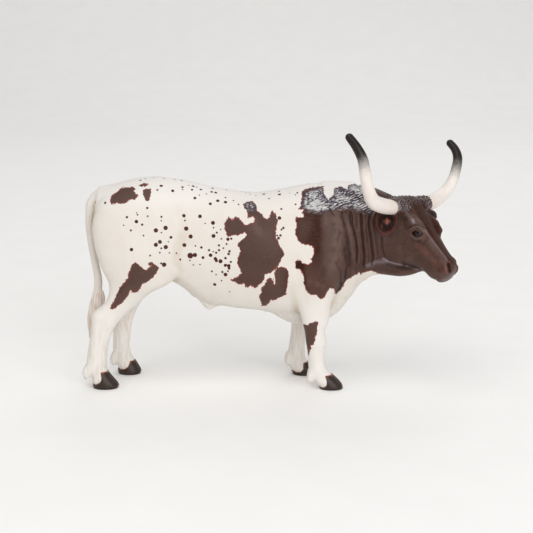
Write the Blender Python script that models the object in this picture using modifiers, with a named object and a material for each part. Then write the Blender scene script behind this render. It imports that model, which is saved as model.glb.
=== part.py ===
"""Texas longhorn: a toy figure moulded in vinyl, standing, its head turned to its right.

Lengths are in millimetres until a mesh is made. X runs from tail to muzzle, Y to the animal's
left and Z up from the soles. The flesh is a blend of rounded forms, each a section carried along
a straight line, and thin cuts part it into the pieces that a person would name.
"""

import bmesh
import bpy
import numpy as np

MM = 0.001
GAP = 0.3

# The figure's middle in plan, so that its box stands centred on the origin.
CENTRE_X = 4.0
CENTRE_Y = -0.91

# The level at which the feet are cut flat; it becomes the floor.
SOLE_LEVEL = 1.3

# How the head is set: turned to the animal's right and rolled a little, with the face sloping down.
HEAD_YAW = 35.5
HEAD_ROLL = 5.0
FACE_SLOPE = 40.0
POLL = np.array([57.8, -4.0, 76.4])

HORN_ROOT_RADIUS = 3.2
HORN_TIP_RADIUS = 1.6
EAR_HALF_WIDTH = 4.3
EAR_DEPTH = 2.5
EAR_WALL = 0.7
EAR_SPREAD = 1.3
EYE_RADIUS = 2.2
# An eye's middle: down the face, off it and aside.
EYE_PLACE = (9.8, 7.0, 6.3)

# The ears, measured on the head: root, tip and the way the cup faces. The right one hangs, the
# left one is held out to its side.
EARS = {
    "ear_right": ((-3.7, -10.4, -3.8), (-1.1, -15.8, -11.7), (0.45, -0.88, 0.14)),
    "ear_left": ((-2.2, 9.0, -5.0), (2.2, 18.2, -6.0), (0.62, -0.20, -0.75)),
}

# Where the relief of the head ends: behind the poll, and in the figure's length.
HEAD_RELIEF_BEHIND = 9.0
HEAD_RELIEF_FROM = 40.0

# Fineness of the solids.
SKIN_GRID = 0.95
SKIN_TRIANGLES = 11500
HEAD_KEPT = 0.85
HEAD_ABOVE = 44.0

COAT_WHITE = (0.84, 0.79, 0.71)
COAT_BROWN = (0.078, 0.040, 0.029)
HORN_CREAM = (0.82, 0.76, 0.68)
HOOF_BROWN = (0.028, 0.015, 0.008)
EYE_BLACK = (0.010, 0.009, 0.009)

X = np.array([1.0, 0.0, 0.0])
Y = np.array([0.0, 1.0, 0.0])
Z = np.array([0.0, 0.0, 1.0])


def head_axes():
    """The head's own forward, left and up directions."""
    yaw, roll = np.radians([HEAD_YAW, HEAD_ROLL])
    forward = np.array([np.cos(yaw), -np.sin(yaw), 0.0])
    left = np.array([np.sin(yaw) * np.cos(roll), np.cos(yaw) * np.cos(roll), -np.sin(roll)])
    return forward, left, np.cross(forward, left)


FORWARD, LEFT, UP = head_axes()


def in_head(forward, left, up):
    """A place on the head, measured from the poll."""
    return POLL + forward * FORWARD + left * LEFT + up * UP


def face_axes():
    """The line down the middle of the face, and the direction out of its top."""
    slope = np.radians(FACE_SLOPE)
    down_face = np.cos(slope) * FORWARD - np.sin(slope) * UP
    return down_face, np.sin(slope) * FORWARD + np.cos(slope) * UP


DOWN_FACE, OFF_FACE = face_axes()
FACE_START = in_head(-3.0, 0.0, -9.0)


def eased(keys, values, places):
    """A cubic through the keys, with its slopes taken from the neighbouring keys."""
    keys, values, places = (np.asarray(item, float) for item in (keys, values, places))
    slopes = np.gradient(values, keys, axis=0)
    span = np.clip(np.searchsorted(keys, places) - 1, 0, len(keys) - 2)
    width = keys[span + 1] - keys[span]
    t = (places - keys[span]) / width
    if values.ndim > 1:
        width, t = width[:, None], t[:, None]
    start = (2 * t**3 - 3 * t**2 + 1) * values[span] + (t**3 - 2 * t**2 + t) * width * slopes[span]
    return start + (3 * t**2 - 2 * t**3) * values[span + 1] + (t**3 - t**2) * width * slopes[span + 1]


class Form:
    """A rounded section carried along a straight line.

    A station is its place on the line, the section's high and low edges, its half width, the
    level of its widest line and its shift sideways; the last two may be left out.
    """

    def __init__(self, stations, origin=(0, 0, 0), along=X, high=Z, side=Y,
                 square=2.2, ends=(3, 3), blend=3.0):
        full = []
        for row in stations:
            middle = row[4] if len(row) > 4 else (row[1] + row[2]) / 2
            full.append([*row[:4], middle, row[5] if len(row) > 5 else 0.0])
        full = np.array(sorted(full))
        self.places = np.linspace(full[0, 0], full[-1, 0], 80)
        dense = eased(full[:, 0], full[:, 1:], self.places)
        self.middle, self.shift = dense[:, 3], dense[:, 4]
        self.above = np.maximum(dense[:, 0] - self.middle, 0.3)
        self.below = np.maximum(self.middle - dense[:, 1], 0.3)
        self.half = np.maximum(dense[:, 2], 0.3)
        self.origin = np.array(origin, float)
        self.along, self.high, self.side = along, high, side
        self.square, self.ends, self.blend = square, ends, blend

    def at(self, column, place):
        return np.interp(place, self.places, column)

    def outside(self, points):
        """About how far points lie outside the form; less than nothing inside it."""
        local = points - self.origin
        place = local @ self.along
        nearest = np.clip(place, self.places[0], self.places[-1])
        over = place - nearest
        up = local @ self.high - self.at(self.middle, nearest)
        across = local @ self.side - self.at(self.shift, nearest)
        tall = np.where(up > 0, self.at(self.above, nearest), self.at(self.below, nearest))
        cap = np.where(over < 0, self.ends[0], self.ends[1])
        power = self.square
        reach = (np.abs(up) / tall) ** power
        reach += (np.abs(across) / self.at(self.half, nearest)) ** power
        reach += (np.abs(over) / cap) ** power
        reach = np.maximum(reach, 1e-6) ** (1 / power)
        return np.sqrt(up**2 + across**2 + over**2) * (1 - 1 / reach)

    def rings(self, around=36, cap_rings=5, every=2):
        """The form's surface as rings of points, with one more point closing each end."""
        angle = np.linspace(0, 2 * np.pi, around, endpoint=False)
        cosine, sine = np.cos(angle), np.sin(angle)
        upward = np.sign(cosine) * np.abs(cosine) ** (2 / self.square)
        sideways = np.sign(sine) * np.abs(sine) ** (2 / self.square)
        turn = np.linspace(0, np.pi / 2, cap_rings, endpoint=False)
        stops = [(0, np.cos(a), -self.ends[0] * np.sin(a)) for a in turn[:0:-1]]
        stops += [(k, 1.0, 0.0) for k in range(0, len(self.places), every)]
        stops += [(-1, np.cos(a), self.ends[1] * np.sin(a)) for a in turn[1:]]
        out = []
        for k, scale, over in stops:
            tall = np.where(upward > 0, self.above[k], self.below[k]) * scale
            out.append(self.spot(k, over, tall * upward, self.half[k] * scale * sideways))
        return np.array(out), self.spot(0, -self.ends[0], 0, 0), self.spot(-1, self.ends[1], 0, 0)

    def spot(self, k, over, up, across):
        centre = self.origin + (self.places[k] + over) * self.along + self.middle[k] * self.high
        centre = centre + self.shift[k] * self.side
        return centre + np.multiply.outer(up, self.high) + np.multiply.outer(across, self.side)


def trunk_forms():
    """The barrel, the brisket under it, the neck, the throat and the sheath."""
    barrel = [(-67.6, 82.8, 62, 8.0, 74), (-62, 84.6, 54, 11.5, 73), (-53, 86.8, 50, 14.4, 72),
              (-44, 87.4, 46.5, 15.4, 69), (-35, 86.3, 42.2, 15.0, 63), (-30, 85.3, 38.2, 15.0, 61),
              (-24, 83.8, 35.6, 15.5, 59), (-15, 82.1, 33.6, 16.6, 57), (-4, 81.1, 32.5, 17.4, 56),
              (6, 82.5, 31.4, 17.4, 56), (16, 84.5, 31, 16.4, 57.5), (26, 84.9, 33, 14.6, 60),
              (34, 84.6, 39, 12.4, 62)]
    brisket = [(1, 60, 32.8, 7.6, 43), (6.3, 60, 28.2, 7.4, 43), (11.5, 60, 25.9, 6.8, 43),
               (19, 60, 25.3, 6.4, 43), (26.5, 60, 28.6, 6.8, 44), (31.7, 62, 33.3, 7.0, 47),
               (34.8, 64, 38.3, 7, 51), (37.4, 66, 42.6, 6.8, 55), (40, 66, 45.3, 6.4, 57)]
    neck = [(24, 84.4, 42, 14, 63, 0), (31, 84.6, 43, 13.0, 64, 0), (37.3, 84.4, 45, 12.2, 65, -0.6),
            (43.6, 83.4, 48.5, 10.8, 66, -1.6), (47.8, 81.8, 49.5, 9.5, 66, -2.6),
            (53, 79.4, 51, 8.2, 66, -4)]
    throat = [(38, 60, 43.8, 6.2, 53, -0.4), (41.5, 60, 46.1, 5.8, 53, -0.8),
              (46, 58, 47.5, 5.4, 52.5, -1.2), (50, 57, 47.2, 5, 51.5, -1.6),
              (54.8, 56, 47.0, 4.6, 51, -3), (59.6, 54, 48.3, 4.2, 51, -5.3),
              (63.5, 53, 50.6, 3.4, 51.8, -8)]
    sheath = [(-29, 41, 37.6, 2.8), (-25.8, 40, 33.2, 2.5), (-23.4, 39, 31.8, 2.0),
              (-21, 39, 33.4, 2.2), (-17, 39, 35, 2.4)]
    return [Form(barrel, square=2.3, ends=(2.4, 5)), Form(brisket, square=2.1, ends=(5, 3), blend=4),
            Form(neck, ends=(5, 4), blend=4), Form(throat, ends=(3, 2), blend=2.5),
            Form(sheath, ends=(2, 2), blend=2.5)]


def head_forms():
    """The skull and jaws along the face, the crown between the horns, the brows and the muzzle."""
    skull = [(-5, 11.0, -4.5, 9.4, 4), (-1, 11.6, -7.6, 9.2, 4), (4, 11.0, -10.3, 8.7, 4),
             (8.5, 10.2, -11.2, 8.1, 3.5), (13, 9.2, -8.2, 6.7, 2.6), (17, 8.4, -5.4, 5.6, 2.2),
             (21, 7.7, -4.4, 5.1, 2), (24.5, 7.2, -4.1, 5.1, 1.8), (27.0, 6.8, -2.9, 5.0, 1.8)]
    face = dict(origin=FACE_START, along=DOWN_FACE, high=OFF_FACE, side=LEFT)
    forms = [Form(skull, square=2.5, ends=(3.5, 2.8), blend=3, **face)]
    crown = [(-10.5, 2.4, -3.2, 3.3, -0.4, -0.5), (-6, 3.1, -6, 4.2, -2, -1.0), (0, 3.3, -7, 4.4, -2, -1.0),
             (6, 3.1, -6, 4.2, -2, -1.0), (10.5, 2.4, -3.2, 3.3, -0.4, -0.5)]
    forms.append(Form(crown, origin=POLL, along=LEFT, high=UP, side=FORWARD, ends=(1.6, 1.6), blend=2))
    for side in (-1, 1):
        brow = [(4.5, 10.2, 6.4, 1.3, 8.4, 6.6 * side), (7.5, 10.9, 6.4, 1.7, 8.6, 6.7 * side),
                (10.5, 10.2, 6.2, 1.4, 8.2, 6.3 * side)]
        forms.append(Form(brow, ends=(2.2, 1.8), blend=2.2, **face))
        lid = [(8.2, 7.6, 5.2, 1.2, 6.4, 6.3 * side), (10.2, 8.3, 4.6, 1.5, 6.4, 6.5 * side),
               (12.2, 7.9, 5.4, 1.2, 6.7, 6.0 * side)]
        forms.append(Form(lid, ends=(1.4, 1.2), blend=1.4, **face))
        nostril = [(25.2, 6.6, 3, 1.4, 5, 3.6 * side), (27.4, 6.0, 2.6, 1.5, 4.6, 3.4 * side)]
        forms.append(Form(nostril, ends=(2, 1.6), blend=1.4, **face))
    return forms


def leg_form(side, rows):
    """A leg from its sole up: height, rear edge, front edge, half width, distance from the middle."""
    stations = [(z, front, rear, half, (front + rear) / 2, side * out) for z, rear, front, half, out in rows]
    return Form(stations, along=Z, high=X, side=Y, square=2.15, ends=(1.5, 4), blend=2.6)


# The legs, named for the side of the figure that they stand on: near is its right.
NEAR_FORE = [(0.3, 22.3, 31.4, 3.9, 10.6), (2.4, 21.8, 31.4, 4.0, 10.6), (4.2, 20.2, 30.2, 3.9, 10.6),
             (6.6, 18.7, 27.8, 3.6, 10.6), (8.9, 17.6, 25.4, 3.6, 10.6), (12.5, 17.2, 24.2, 3.1, 10.6),
             (17, 16.9, 24.1, 3.1, 10.7),
             (21.3, 16.2, 24.4, 3.6, 10.8), (25.1, 15.8, 24.1, 3.6, 10.9), (29.9, 14.6, 25.4, 3.9, 11.1),
             (36.7, 12.9, 26.3, 4.5, 11.3), (43, 10.8, 28.2, 5.0, 11.5), (51, 9.2, 31.5, 5.6, 11.2),
             (61, 11, 32, 5.6, 9.6), (71, 15, 31, 4.8, 7.6)]
FAR_FORE = [(0.3, 11.6, 20.4, 3.9, 10.0), (2.4, 11.0, 20.5, 4.0, 10.0), (4.2, 10.0, 19.4, 3.9, 10.0),
            (6.6, 9.1, 17.6, 3.6, 10.0), (8.9, 8.7, 16.5, 3.6, 10.0), (12.5, 9.3, 16.3, 3.1, 10.1),
            (17, 10.0, 16.5, 3.1, 10.2),
            (22.5, 10.5, 17.6, 3.5, 10.4), (29, 10.2, 19.2, 3.9, 10.8), (36.7, 9.6, 21.8, 4.5, 11.2),
            (43, 8.6, 25.0, 5.0, 11.4), (51, 8, 28, 5.6, 11.2), (61, 9.5, 30, 5.6, 9.6),
            (71, 13, 29, 4.8, 7.6)]
NEAR_HIND = [(0.3, -71.1, -62.0, 3.9, 10.4), (2.4, -71.5, -61.0, 4.0, 10.4),
             (4.2, -71.7, -62.2, 3.9, 10.4), (6.6, -72.4, -64.2, 3.6, 10.4),
             (9.2, -73.8, -65.6, 3.6, 10.4),
             (13.5, -73.8, -65.6, 3.1, 10.4), (18.4, -73.0, -65.0, 3.0, 10.4),
             (24, -72.0, -63.4, 3.1, 10.5), (28.9, -71.5, -60.6, 3.4, 10.6), (32.9, -70.9, -56.8, 3.7, 10.6),
             (37, -66.2, -52.0, 4.1, 10.7), (41.7, -63.9, -46.6, 4.8, 10.9), (45.3, -63.9, -39.6, 5.4, 10.9),
             (50.7, -66.3, -36.0, 6.2, 10.8), (56.6, -68.4, -35, 6.8, 10.5), (63.3, -69.8, -36, 6.8, 10.0),
             (70.8, -70.0, -38, 6.2, 9.2), (77, -67.6, -42, 5.0, 8.0)]
FAR_HIND = [(0.3, -63.2, -54.6, 3.9, 10.4), (2.4, -63.7, -54.0, 4.0, 10.4), (4.2, -63.8, -54.8, 3.9, 10.4),
            (6.6, -64.4, -56.2, 3.6, 10.4), (9.2, -65.5, -57.8, 3.6, 10.4), (13, -65.6, -58.7, 3.1, 10.4),
            (18.5, -65.5, -58.1, 3.0, 10.4),
            (23, -65.2, -57.5, 3.1, 10.5), (27, -64.6, -56.2, 3.3, 10.6), (31, -63.6, -54.4, 3.6, 10.6),
            (36, -60.4, -50.6, 4.1, 10.7), (41.7, -59.4, -44.6, 4.8, 10.9), (45.3, -60.4, -39.4, 5.4, 10.9),
            (50.7, -64.0, -36, 6.2, 10.8), (56.6, -67.0, -35, 6.8, 10.5), (63.3, -68.9, -36, 6.8, 10.0),
            (70.8, -69.5, -38, 6.2, 9.2), (77, -67.4, -42, 5.0, 8.0)]


def dewclaws(side, rear, out, lowered=0.0):
    """Two small claws that hang behind a fetlock, one on each side of it."""
    forms = []
    for across in (-1.9, 1.9):
        rows = [(5.9 - lowered, rear + 0.1, rear + 2.0, 0.9, out + across),
                (7.6 - lowered, rear - 0.5, rear + 3.4, 1.2, out + across),
                (9.6 - lowered, rear, rear + 4.2, 1.2, out + across)]
        forms.append(leg_form(side, rows))
        forms[-1].ends, forms[-1].blend = (0.8, 1.5), 0.9
    return forms


def limb_forms():
    forms = [leg_form(-1, NEAR_FORE), leg_form(1, FAR_FORE), leg_form(-1, NEAR_HIND), leg_form(1, FAR_HIND)]
    forms += dewclaws(-1, 17.0, 10.6, 1.4) + dewclaws(1, 8.1, 10.0)
    forms += dewclaws(-1, -75.2, 10.4) + dewclaws(1, -66.6, 10.4)
    return forms


def tail_forms():
    """The tail from its head down to the switch, and the switch with its pointed end."""
    tail = [(39, -68.4, -71.9, 1.9), (44.4, -68.1, -71.4, 1.7), (52, -69.4, -72.4, 1.7),
            (59, -70.4, -73.5, 1.8), (65.4, -70.8, -74.2, 2.0), (71.7, -70.4, -74.2, 2.3),
            (77.9, -68.0, -73.2, 2.6), (81.0, -63, -71.0, 2.9), (83.0, -58, -68.6, 2.9)]
    switch = [(17.5, -72.3, -73.9, 0.7, -73.1, 1), (21.5, -71.0, -74.4, 1.9, -72.7, 1),
              (26, -69.6, -74.7, 2.5, -72.2, 1), (31, -68.4, -74.3, 2.7, -71.4, 1),
              (36, -67.4, -73.0, 2.4, -70.3, 0.6), (41, -68.2, -71.8, 1.8, -69.9, 0)]
    upright = dict(along=Z, high=X, side=Y, square=2.1)
    return [Form(tail, ends=(1, 1), blend=1.4, **upright), Form(switch, ends=(1, 1), blend=0.8, **upright)]


# Raised and sunk lines of the moulding, as the side view shows them: which sides, the half
# width of the line, how high it stands (less than nothing is a groove) and its points (x, z).
BODY_RELIEF = [
    ("both", 1.6, 0.45, [(29.5, 80), (28, 68), (25.5, 58), (26, 50)]),
    ("both", 2.4, -0.55, [(7.5, 72), (5.5, 58), (8.5, 46)]),
    ("both", 3.6, 0.9, [(-34.5, 79.5), (-31.5, 77)]),
    ("both", 2.6, -0.8, [(-29.5, 72), (-31.5, 62), (-33, 54)]),
    ("both", 1.3, 0.5, [(-40, 47.5), (-34, 45.5), (-27, 45), (-18, 42.5)]),
    ("both", 4.5, 0.5, [(-62, 66), (-57, 56)]),
    ("both", 2.0, -0.45, [(-62.5, 50), (-65.5, 41), (-68.3, 32)]),
    ("both", 1.2, 0.35, [(12.5, 41), (16, 44.5), (22, 44.5)]),
    ("right", 1.1, 0.5, [(36, 80), (35.2, 70), (34.4, 60), (35, 52)]),
    ("right", 0.9, 0.55, [(39.2, 79), (38.4, 68), (38.4, 58), (39, 51)]),
    ("right", 0.9, 0.55, [(42.4, 77), (41.8, 68), (41.6, 58), (42, 51)]),
    ("right", 0.8, 0.5, [(45.2, 74), (44.8, 66), (44.6, 58), (44.8, 52)]),
    ("left", 1.2, 0.4, [(38, 80), (40, 66), (40, 53)]),
    ("left", 1.2, 0.4, [(44, 78), (46, 66), (45, 55)]),
]

# The same for the head, seen square from its side: along the face and off it.
HEAD_RELIEF = [
    ("both", 0.8, 0.55, [(1.2, -8.6), (4.2, -10.6), (7.5, -10.9), (12.3, -8.4), (18.3, -4.9)]),
    ("both", 1.0, -0.7, [(-0.5, -6.5), (1.6, -3.5), (2.6, 0.5)]),
    ("both", 2.6, 0.5, [(6.0, -5.0), (9.0, -3.5)]),
    ("both", 2.0, -0.6, [(13.5, 1.8), (17.5, 1.2), (21.0, 1.2)]),
    ("both", 0.55, 0.35, [(6.6, 5.0), (7.4, 8.0), (9.6, 9.8), (12.6, 9.6)]),
    ("both", 0.5, 0.35, [(9.4, 4.2), (11.6, 4.4), (13.2, 7.0)]),
    ("both", 0.6, -0.5, [(21.5, -1.6), (25.5, -1.0), (28.5, 0.2)]),
    ("both", 0.9, -1.0, [(26.9, 4.2), (28.2, 5.2)]),
]


def relief(points, lines, first, second, across, origin):
    """The height of the relief at points: a bell across each line, on the line's own sides."""
    local = points - origin
    flat = np.stack([local @ first, local @ second], axis=1)
    sideways = local @ across
    total = np.zeros(len(points))
    for sides, width, height, path in lines:
        path = np.array(path, float)
        near = np.all((flat > path.min(0) - 3 * width) & (flat < path.max(0) + 3 * width), axis=1)
        if sides != "both":
            near &= (sideways < 0) if sides == "right" else (sideways > 0)
        spot = flat[near]
        least = np.full(len(spot), 1e9)
        for start, end in zip(path[:-1], path[1:]):
            step = end - start
            t = np.clip((spot - start) @ step / (step @ step), 0, 1)
            least = np.minimum(least, ((spot - start - t[:, None] * step) ** 2).sum(1))
        total[near] += height * np.exp(-least / width**2)
    return total


def smooth_least(one, other, blend):
    """The lesser of two distances, with a fillet of about the blend's size where they meet."""
    close = np.maximum(blend - np.abs(one - other), 0) / blend
    return np.minimum(one, other) - close**2 * blend / 4


def flesh(points, forms):
    """How far points lie outside the blended flesh, with its relief raised."""
    distance = forms[0].outside(points)
    for form in forms[1:]:
        distance = smooth_least(distance, form.outside(points), form.blend)
    off_head = (points - POLL) @ FORWARD < -HEAD_RELIEF_BEHIND
    raised = relief(points, BODY_RELIEF, X, Z, Y, np.zeros(3))
    on_head = relief(points, HEAD_RELIEF, DOWN_FACE, OFF_FACE, LEFT, FACE_START)
    on_head[(points[:, 0] < HEAD_RELIEF_FROM) | off_head] = 0.0
    return distance - raised - on_head


def settled(points, forms, rounds=4, most=0.8):
    """Points moved along the flesh's slope until they lie on its surface."""
    for _ in range(rounds):
        distance = flesh(points, forms)
        slope = np.stack([flesh(points + 0.05 * axis, forms) - distance for axis in (X, Y, Z)], axis=1) / 0.05
        steep = np.maximum(np.sqrt((slope**2).sum(1)), 0.3)
        points = points - (np.clip(distance / steep, -most, most) / steep)[:, None] * slope
    return points


def paint(name, colour, roughness):
    material = bpy.data.materials.new(name)
    material.use_nodes = True
    shader = material.node_tree.nodes["Principled BSDF"]
    shader.inputs["Base Color"].default_value = (*colour, 1.0)
    shader.inputs["Roughness"].default_value = roughness
    shader.inputs["Metallic"].default_value = 0.0
    return material


def add_object(name, mesh, collection):
    thing = bpy.data.objects.new(name, mesh)
    collection.objects.link(thing)
    return thing


def mesh_from(name, points, faces):
    """A mesh with its faces turned outwards, from points in millimetres."""
    mesh = bpy.data.meshes.new(name)
    mesh.from_pydata((np.asarray(points) * MM).tolist(), [], faces)
    work = bmesh.new()
    work.from_mesh(mesh)
    bmesh.ops.recalc_face_normals(work, faces=work.faces)
    work.to_mesh(mesh)
    work.free()
    return mesh


def ring_faces(count, around, first=0):
    """Quads between rings of points, with a fan to the two end points that follow them."""
    faces = []
    for ring in range(count - 1):
        for k in range(around):
            a, b = first + ring * around + k, first + ring * around + (k + 1) % around
            faces.append((a, b, b + around, a + around))
    start = first + count * around
    last = start - around
    for k in range(around):
        faces.append((start, first + (k + 1) % around, first + k))
        faces.append((start + 1, last + k, last + (k + 1) % around))
    return faces


def loft(name, rings, first_end, last_end):
    count, around, _ = rings.shape
    points = np.concatenate([rings.reshape(-1, 3), [first_end, last_end]])
    return mesh_from(name, points, ring_faces(count, around))


def evaluated(thing):
    """The object's mesh with its modifiers applied, as a new mesh."""
    graph = bpy.context.evaluated_depsgraph_get()
    return bpy.data.meshes.new_from_object(thing.evaluated_get(graph))


def modified(thing, kind, **settings):
    """One modifier added to the object and applied at once."""
    modifier = thing.modifiers.new(kind.title(), kind)
    for key, value in settings.items():
        setattr(modifier, key, value)
    mesh = evaluated(thing)
    thing.modifiers.clear()
    old, thing.data = thing.data, mesh
    bpy.data.meshes.remove(old)
    return thing


def coordinates(mesh):
    flat = np.empty(len(mesh.vertices) * 3)
    mesh.vertices.foreach_get("co", flat)
    return flat.reshape(-1, 3) / MM


def make_skin(collection):
    """All of the flesh as one closed surface, cut flat at the soles."""
    forms = trunk_forms() + head_forms() + limb_forms() + tail_forms()
    points, faces, used = [], [], 0
    for form in forms:
        rings, first_end, last_end = form.rings()
        count, around, _ = rings.shape
        points += [rings.reshape(-1, 3), first_end[None], last_end[None]]
        faces += ring_faces(count, around, used)
        used += count * around + 2
    skin = add_object("skin", mesh_from("skin", np.concatenate(points), faces), collection)
    modified(skin, "REMESH", mode="VOXEL", voxel_size=SKIN_GRID * MM)
    mesh = skin.data
    mesh.vertices.foreach_set("co", (settled(coordinates(mesh), forms) * MM).ravel())
    mesh.update()
    thin_out(skin)
    return skin


def thin_out(skin):
    """Fewer triangles, with most of them kept on the head."""
    spots = coordinates(skin.data)
    group = skin.vertex_groups.new(name="plain")
    head = np.clip(((spots - POLL) @ FORWARD + 8) / 6, 0, 1) * (spots[:, 2] > HEAD_ABOVE)
    for k, weight in enumerate(1 - HEAD_KEPT * head):
        group.add([k], float(weight), "REPLACE")
    skin.data.calc_loop_triangles()
    ratio = SKIN_TRIANGLES / len(skin.data.loop_triangles)
    modified(skin, "DECIMATE", ratio=ratio, vertex_group="plain", vertex_group_factor=0.6)
    skin.vertex_groups.clear()


def prism(name, outline, low, high, collection):
    """An outline drawn in the side view, as thick as from one Y to the other."""
    work = bmesh.new()
    corners = [work.verts.new((x * MM, low * MM, z * MM)) for x, z in outline]
    face = work.faces.new(corners)
    moved = bmesh.ops.extrude_face_region(work, geom=[face])
    lifted = [item for item in moved["geom"] if isinstance(item, bmesh.types.BMVert)]
    bmesh.ops.translate(work, verts=lifted, vec=(0, (high - low) * MM, 0))
    bmesh.ops.recalc_face_normals(work, faces=work.faces)
    mesh = bpy.data.meshes.new(name)
    work.to_mesh(mesh)
    work.free()
    return cutter(add_object(name, mesh, collection))


def slab(name, point, normal, up, thickness, collection):
    """A block that reaches from a plane backwards, against the plane's normal."""
    normal = np.asarray(normal, float) / np.linalg.norm(normal)
    across = np.cross(up, normal)
    across /= np.linalg.norm(across)
    level = np.cross(normal, across)
    size = 120.0
    corners = [point + a * size * across + b * size * level - c * thickness * normal
               for c in (0, 1) for a, b in ((-1, -1), (1, -1), (1, 1), (-1, 1))]
    faces = [(0, 1, 2, 3), (7, 6, 5, 4), (0, 4, 5, 1), (1, 5, 6, 2), (2, 6, 7, 3), (3, 7, 4, 0)]
    return cutter(add_object(name, mesh_from(name, corners, faces), collection))


def cutter(thing):
    thing.hide_render = True
    thing.display_type = "WIRE"
    return thing


def widened(outline, amount):
    """The outline moved outwards all round; its points run anticlockwise."""
    path = np.array(outline, float)
    before, after = path - np.roll(path, 1, axis=0), np.roll(path, -1, axis=0) - path
    before /= np.linalg.norm(before, axis=1, keepdims=True)
    after /= np.linalg.norm(after, axis=1, keepdims=True)
    tangent = before + after
    out = np.stack([tangent[:, 1], -tangent[:, 0]], axis=1)
    out /= np.linalg.norm(out, axis=1, keepdims=True)
    bend = np.clip((out * np.stack([before[:, 1], -before[:, 0]], axis=1)).sum(1), 0.4, 1)
    return [tuple(p) for p in path + out * (amount / bend)[:, None]]


def carve(name, source, keep, remove, collection):
    """What is left of the source inside one solid and outside others: its largest piece."""
    piece = add_object(name, source.copy(), collection)
    if keep is not None:
        modified(piece, "BOOLEAN", operation="INTERSECT", object=keep, solver="EXACT")
    for solid in remove:
        modified(piece, "BOOLEAN", operation="DIFFERENCE", object=solid, solver="EXACT")
    keep_largest(piece.data)
    return piece


def keep_largest(mesh):
    """Drops every loose scrap but the largest surface."""
    work = bmesh.new()
    work.from_mesh(mesh)
    bmesh.ops.remove_doubles(work, verts=work.verts, dist=0.00001)
    bmesh.ops.dissolve_degenerate(work, edges=work.edges, dist=0.000005)
    left, groups = set(work.verts), []
    while left:
        stack, group = [left.pop()], []
        while stack:
            vert = stack.pop()
            group.append(vert)
            for edge in vert.link_edges:
                other = edge.other_vert(vert)
                if other in left:
                    left.remove(other)
                    stack.append(other)
        groups.append(group)
    groups.sort(key=len)
    for group in groups[:-1]:
        bmesh.ops.delete(work, geom=group, context="VERTS")
    bmesh.ops.triangulate(work, faces=work.faces)
    bmesh.ops.recalc_face_normals(work, faces=work.faces)
    work.to_mesh(mesh)
    work.free()


# Where the flesh is parted. A leg's arch is drawn in the side view, anticlockwise.
FORE_ARCH = [(4, -4), (36, -4), (34, 20), (29.5, 34), (28.5, 44), (26.5, 51), (22.5, 54.5), (17.5, 54.5),
             (12.5, 51), (9.4, 45), (7.6, 36), (4, 20)]
HIND_ARCH = [(-84, -4), (-46, -4), (-44, 30), (-36, 40), (-34.2, 46), (-36, 54), (-41, 62), (-49, 67),
             (-58, 67), (-66, 62), (-73, 54), (-84, 44)]
LEFT_FORE_BACK = 3.4
LEG_INNER = 4.7
TAIL_OUTLINE = [(-90, 10), (-62, 10), (-62, 36), (-67.0, 45), (-69.0, 55), (-69.8, 66), (-69.6, 76),
                (-67.0, 80), (-67.0, 95), (-90, 95)]
TAIL_HALF = 3.7
SWITCH_TOP = 40.0
NECK_CUT = (np.array([29.5, 0, 60]), np.array([0.97, -0.17, 0.13]))
HEAD_CUT = (in_head(-3.8, 0, 1.0), 0.985 * FORWARD - 0.17 * UP)
# The coronets, each from the toe's side round over the foot: the line where the hoof begins.
CORONETS = {
    "hoof_fore_right": [(36, -6), (36, 7), (27.9, 6.9), (26.5, 4.6), (25.0, 3.0), (23.2, 1.9),
                        (18, 1.7), (18, -6)],
    "hoof_fore_left": [(24, -6), (24, 7), (18.2, 6.4), (16.3, 3.8), (14.3, 2.5), (12, 2.3),
                       (6, 4.6), (6, -6)],
    "hoof_hind_right": [(-58, -6), (-58, 9), (-64.5, 8.0), (-66, 5.5), (-67.6, 4.0), (-69.8, 3.0),
                        (-76, 2.6), (-76, -6)],
    "hoof_hind_left": [(-50, -6), (-50, 7.6), (-56.1, 6.8), (-58.4, 4.6), (-60.4, 3.5), (-62.4, 3.2),
                       (-68, 3.4), (-68, -6)],
}


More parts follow.
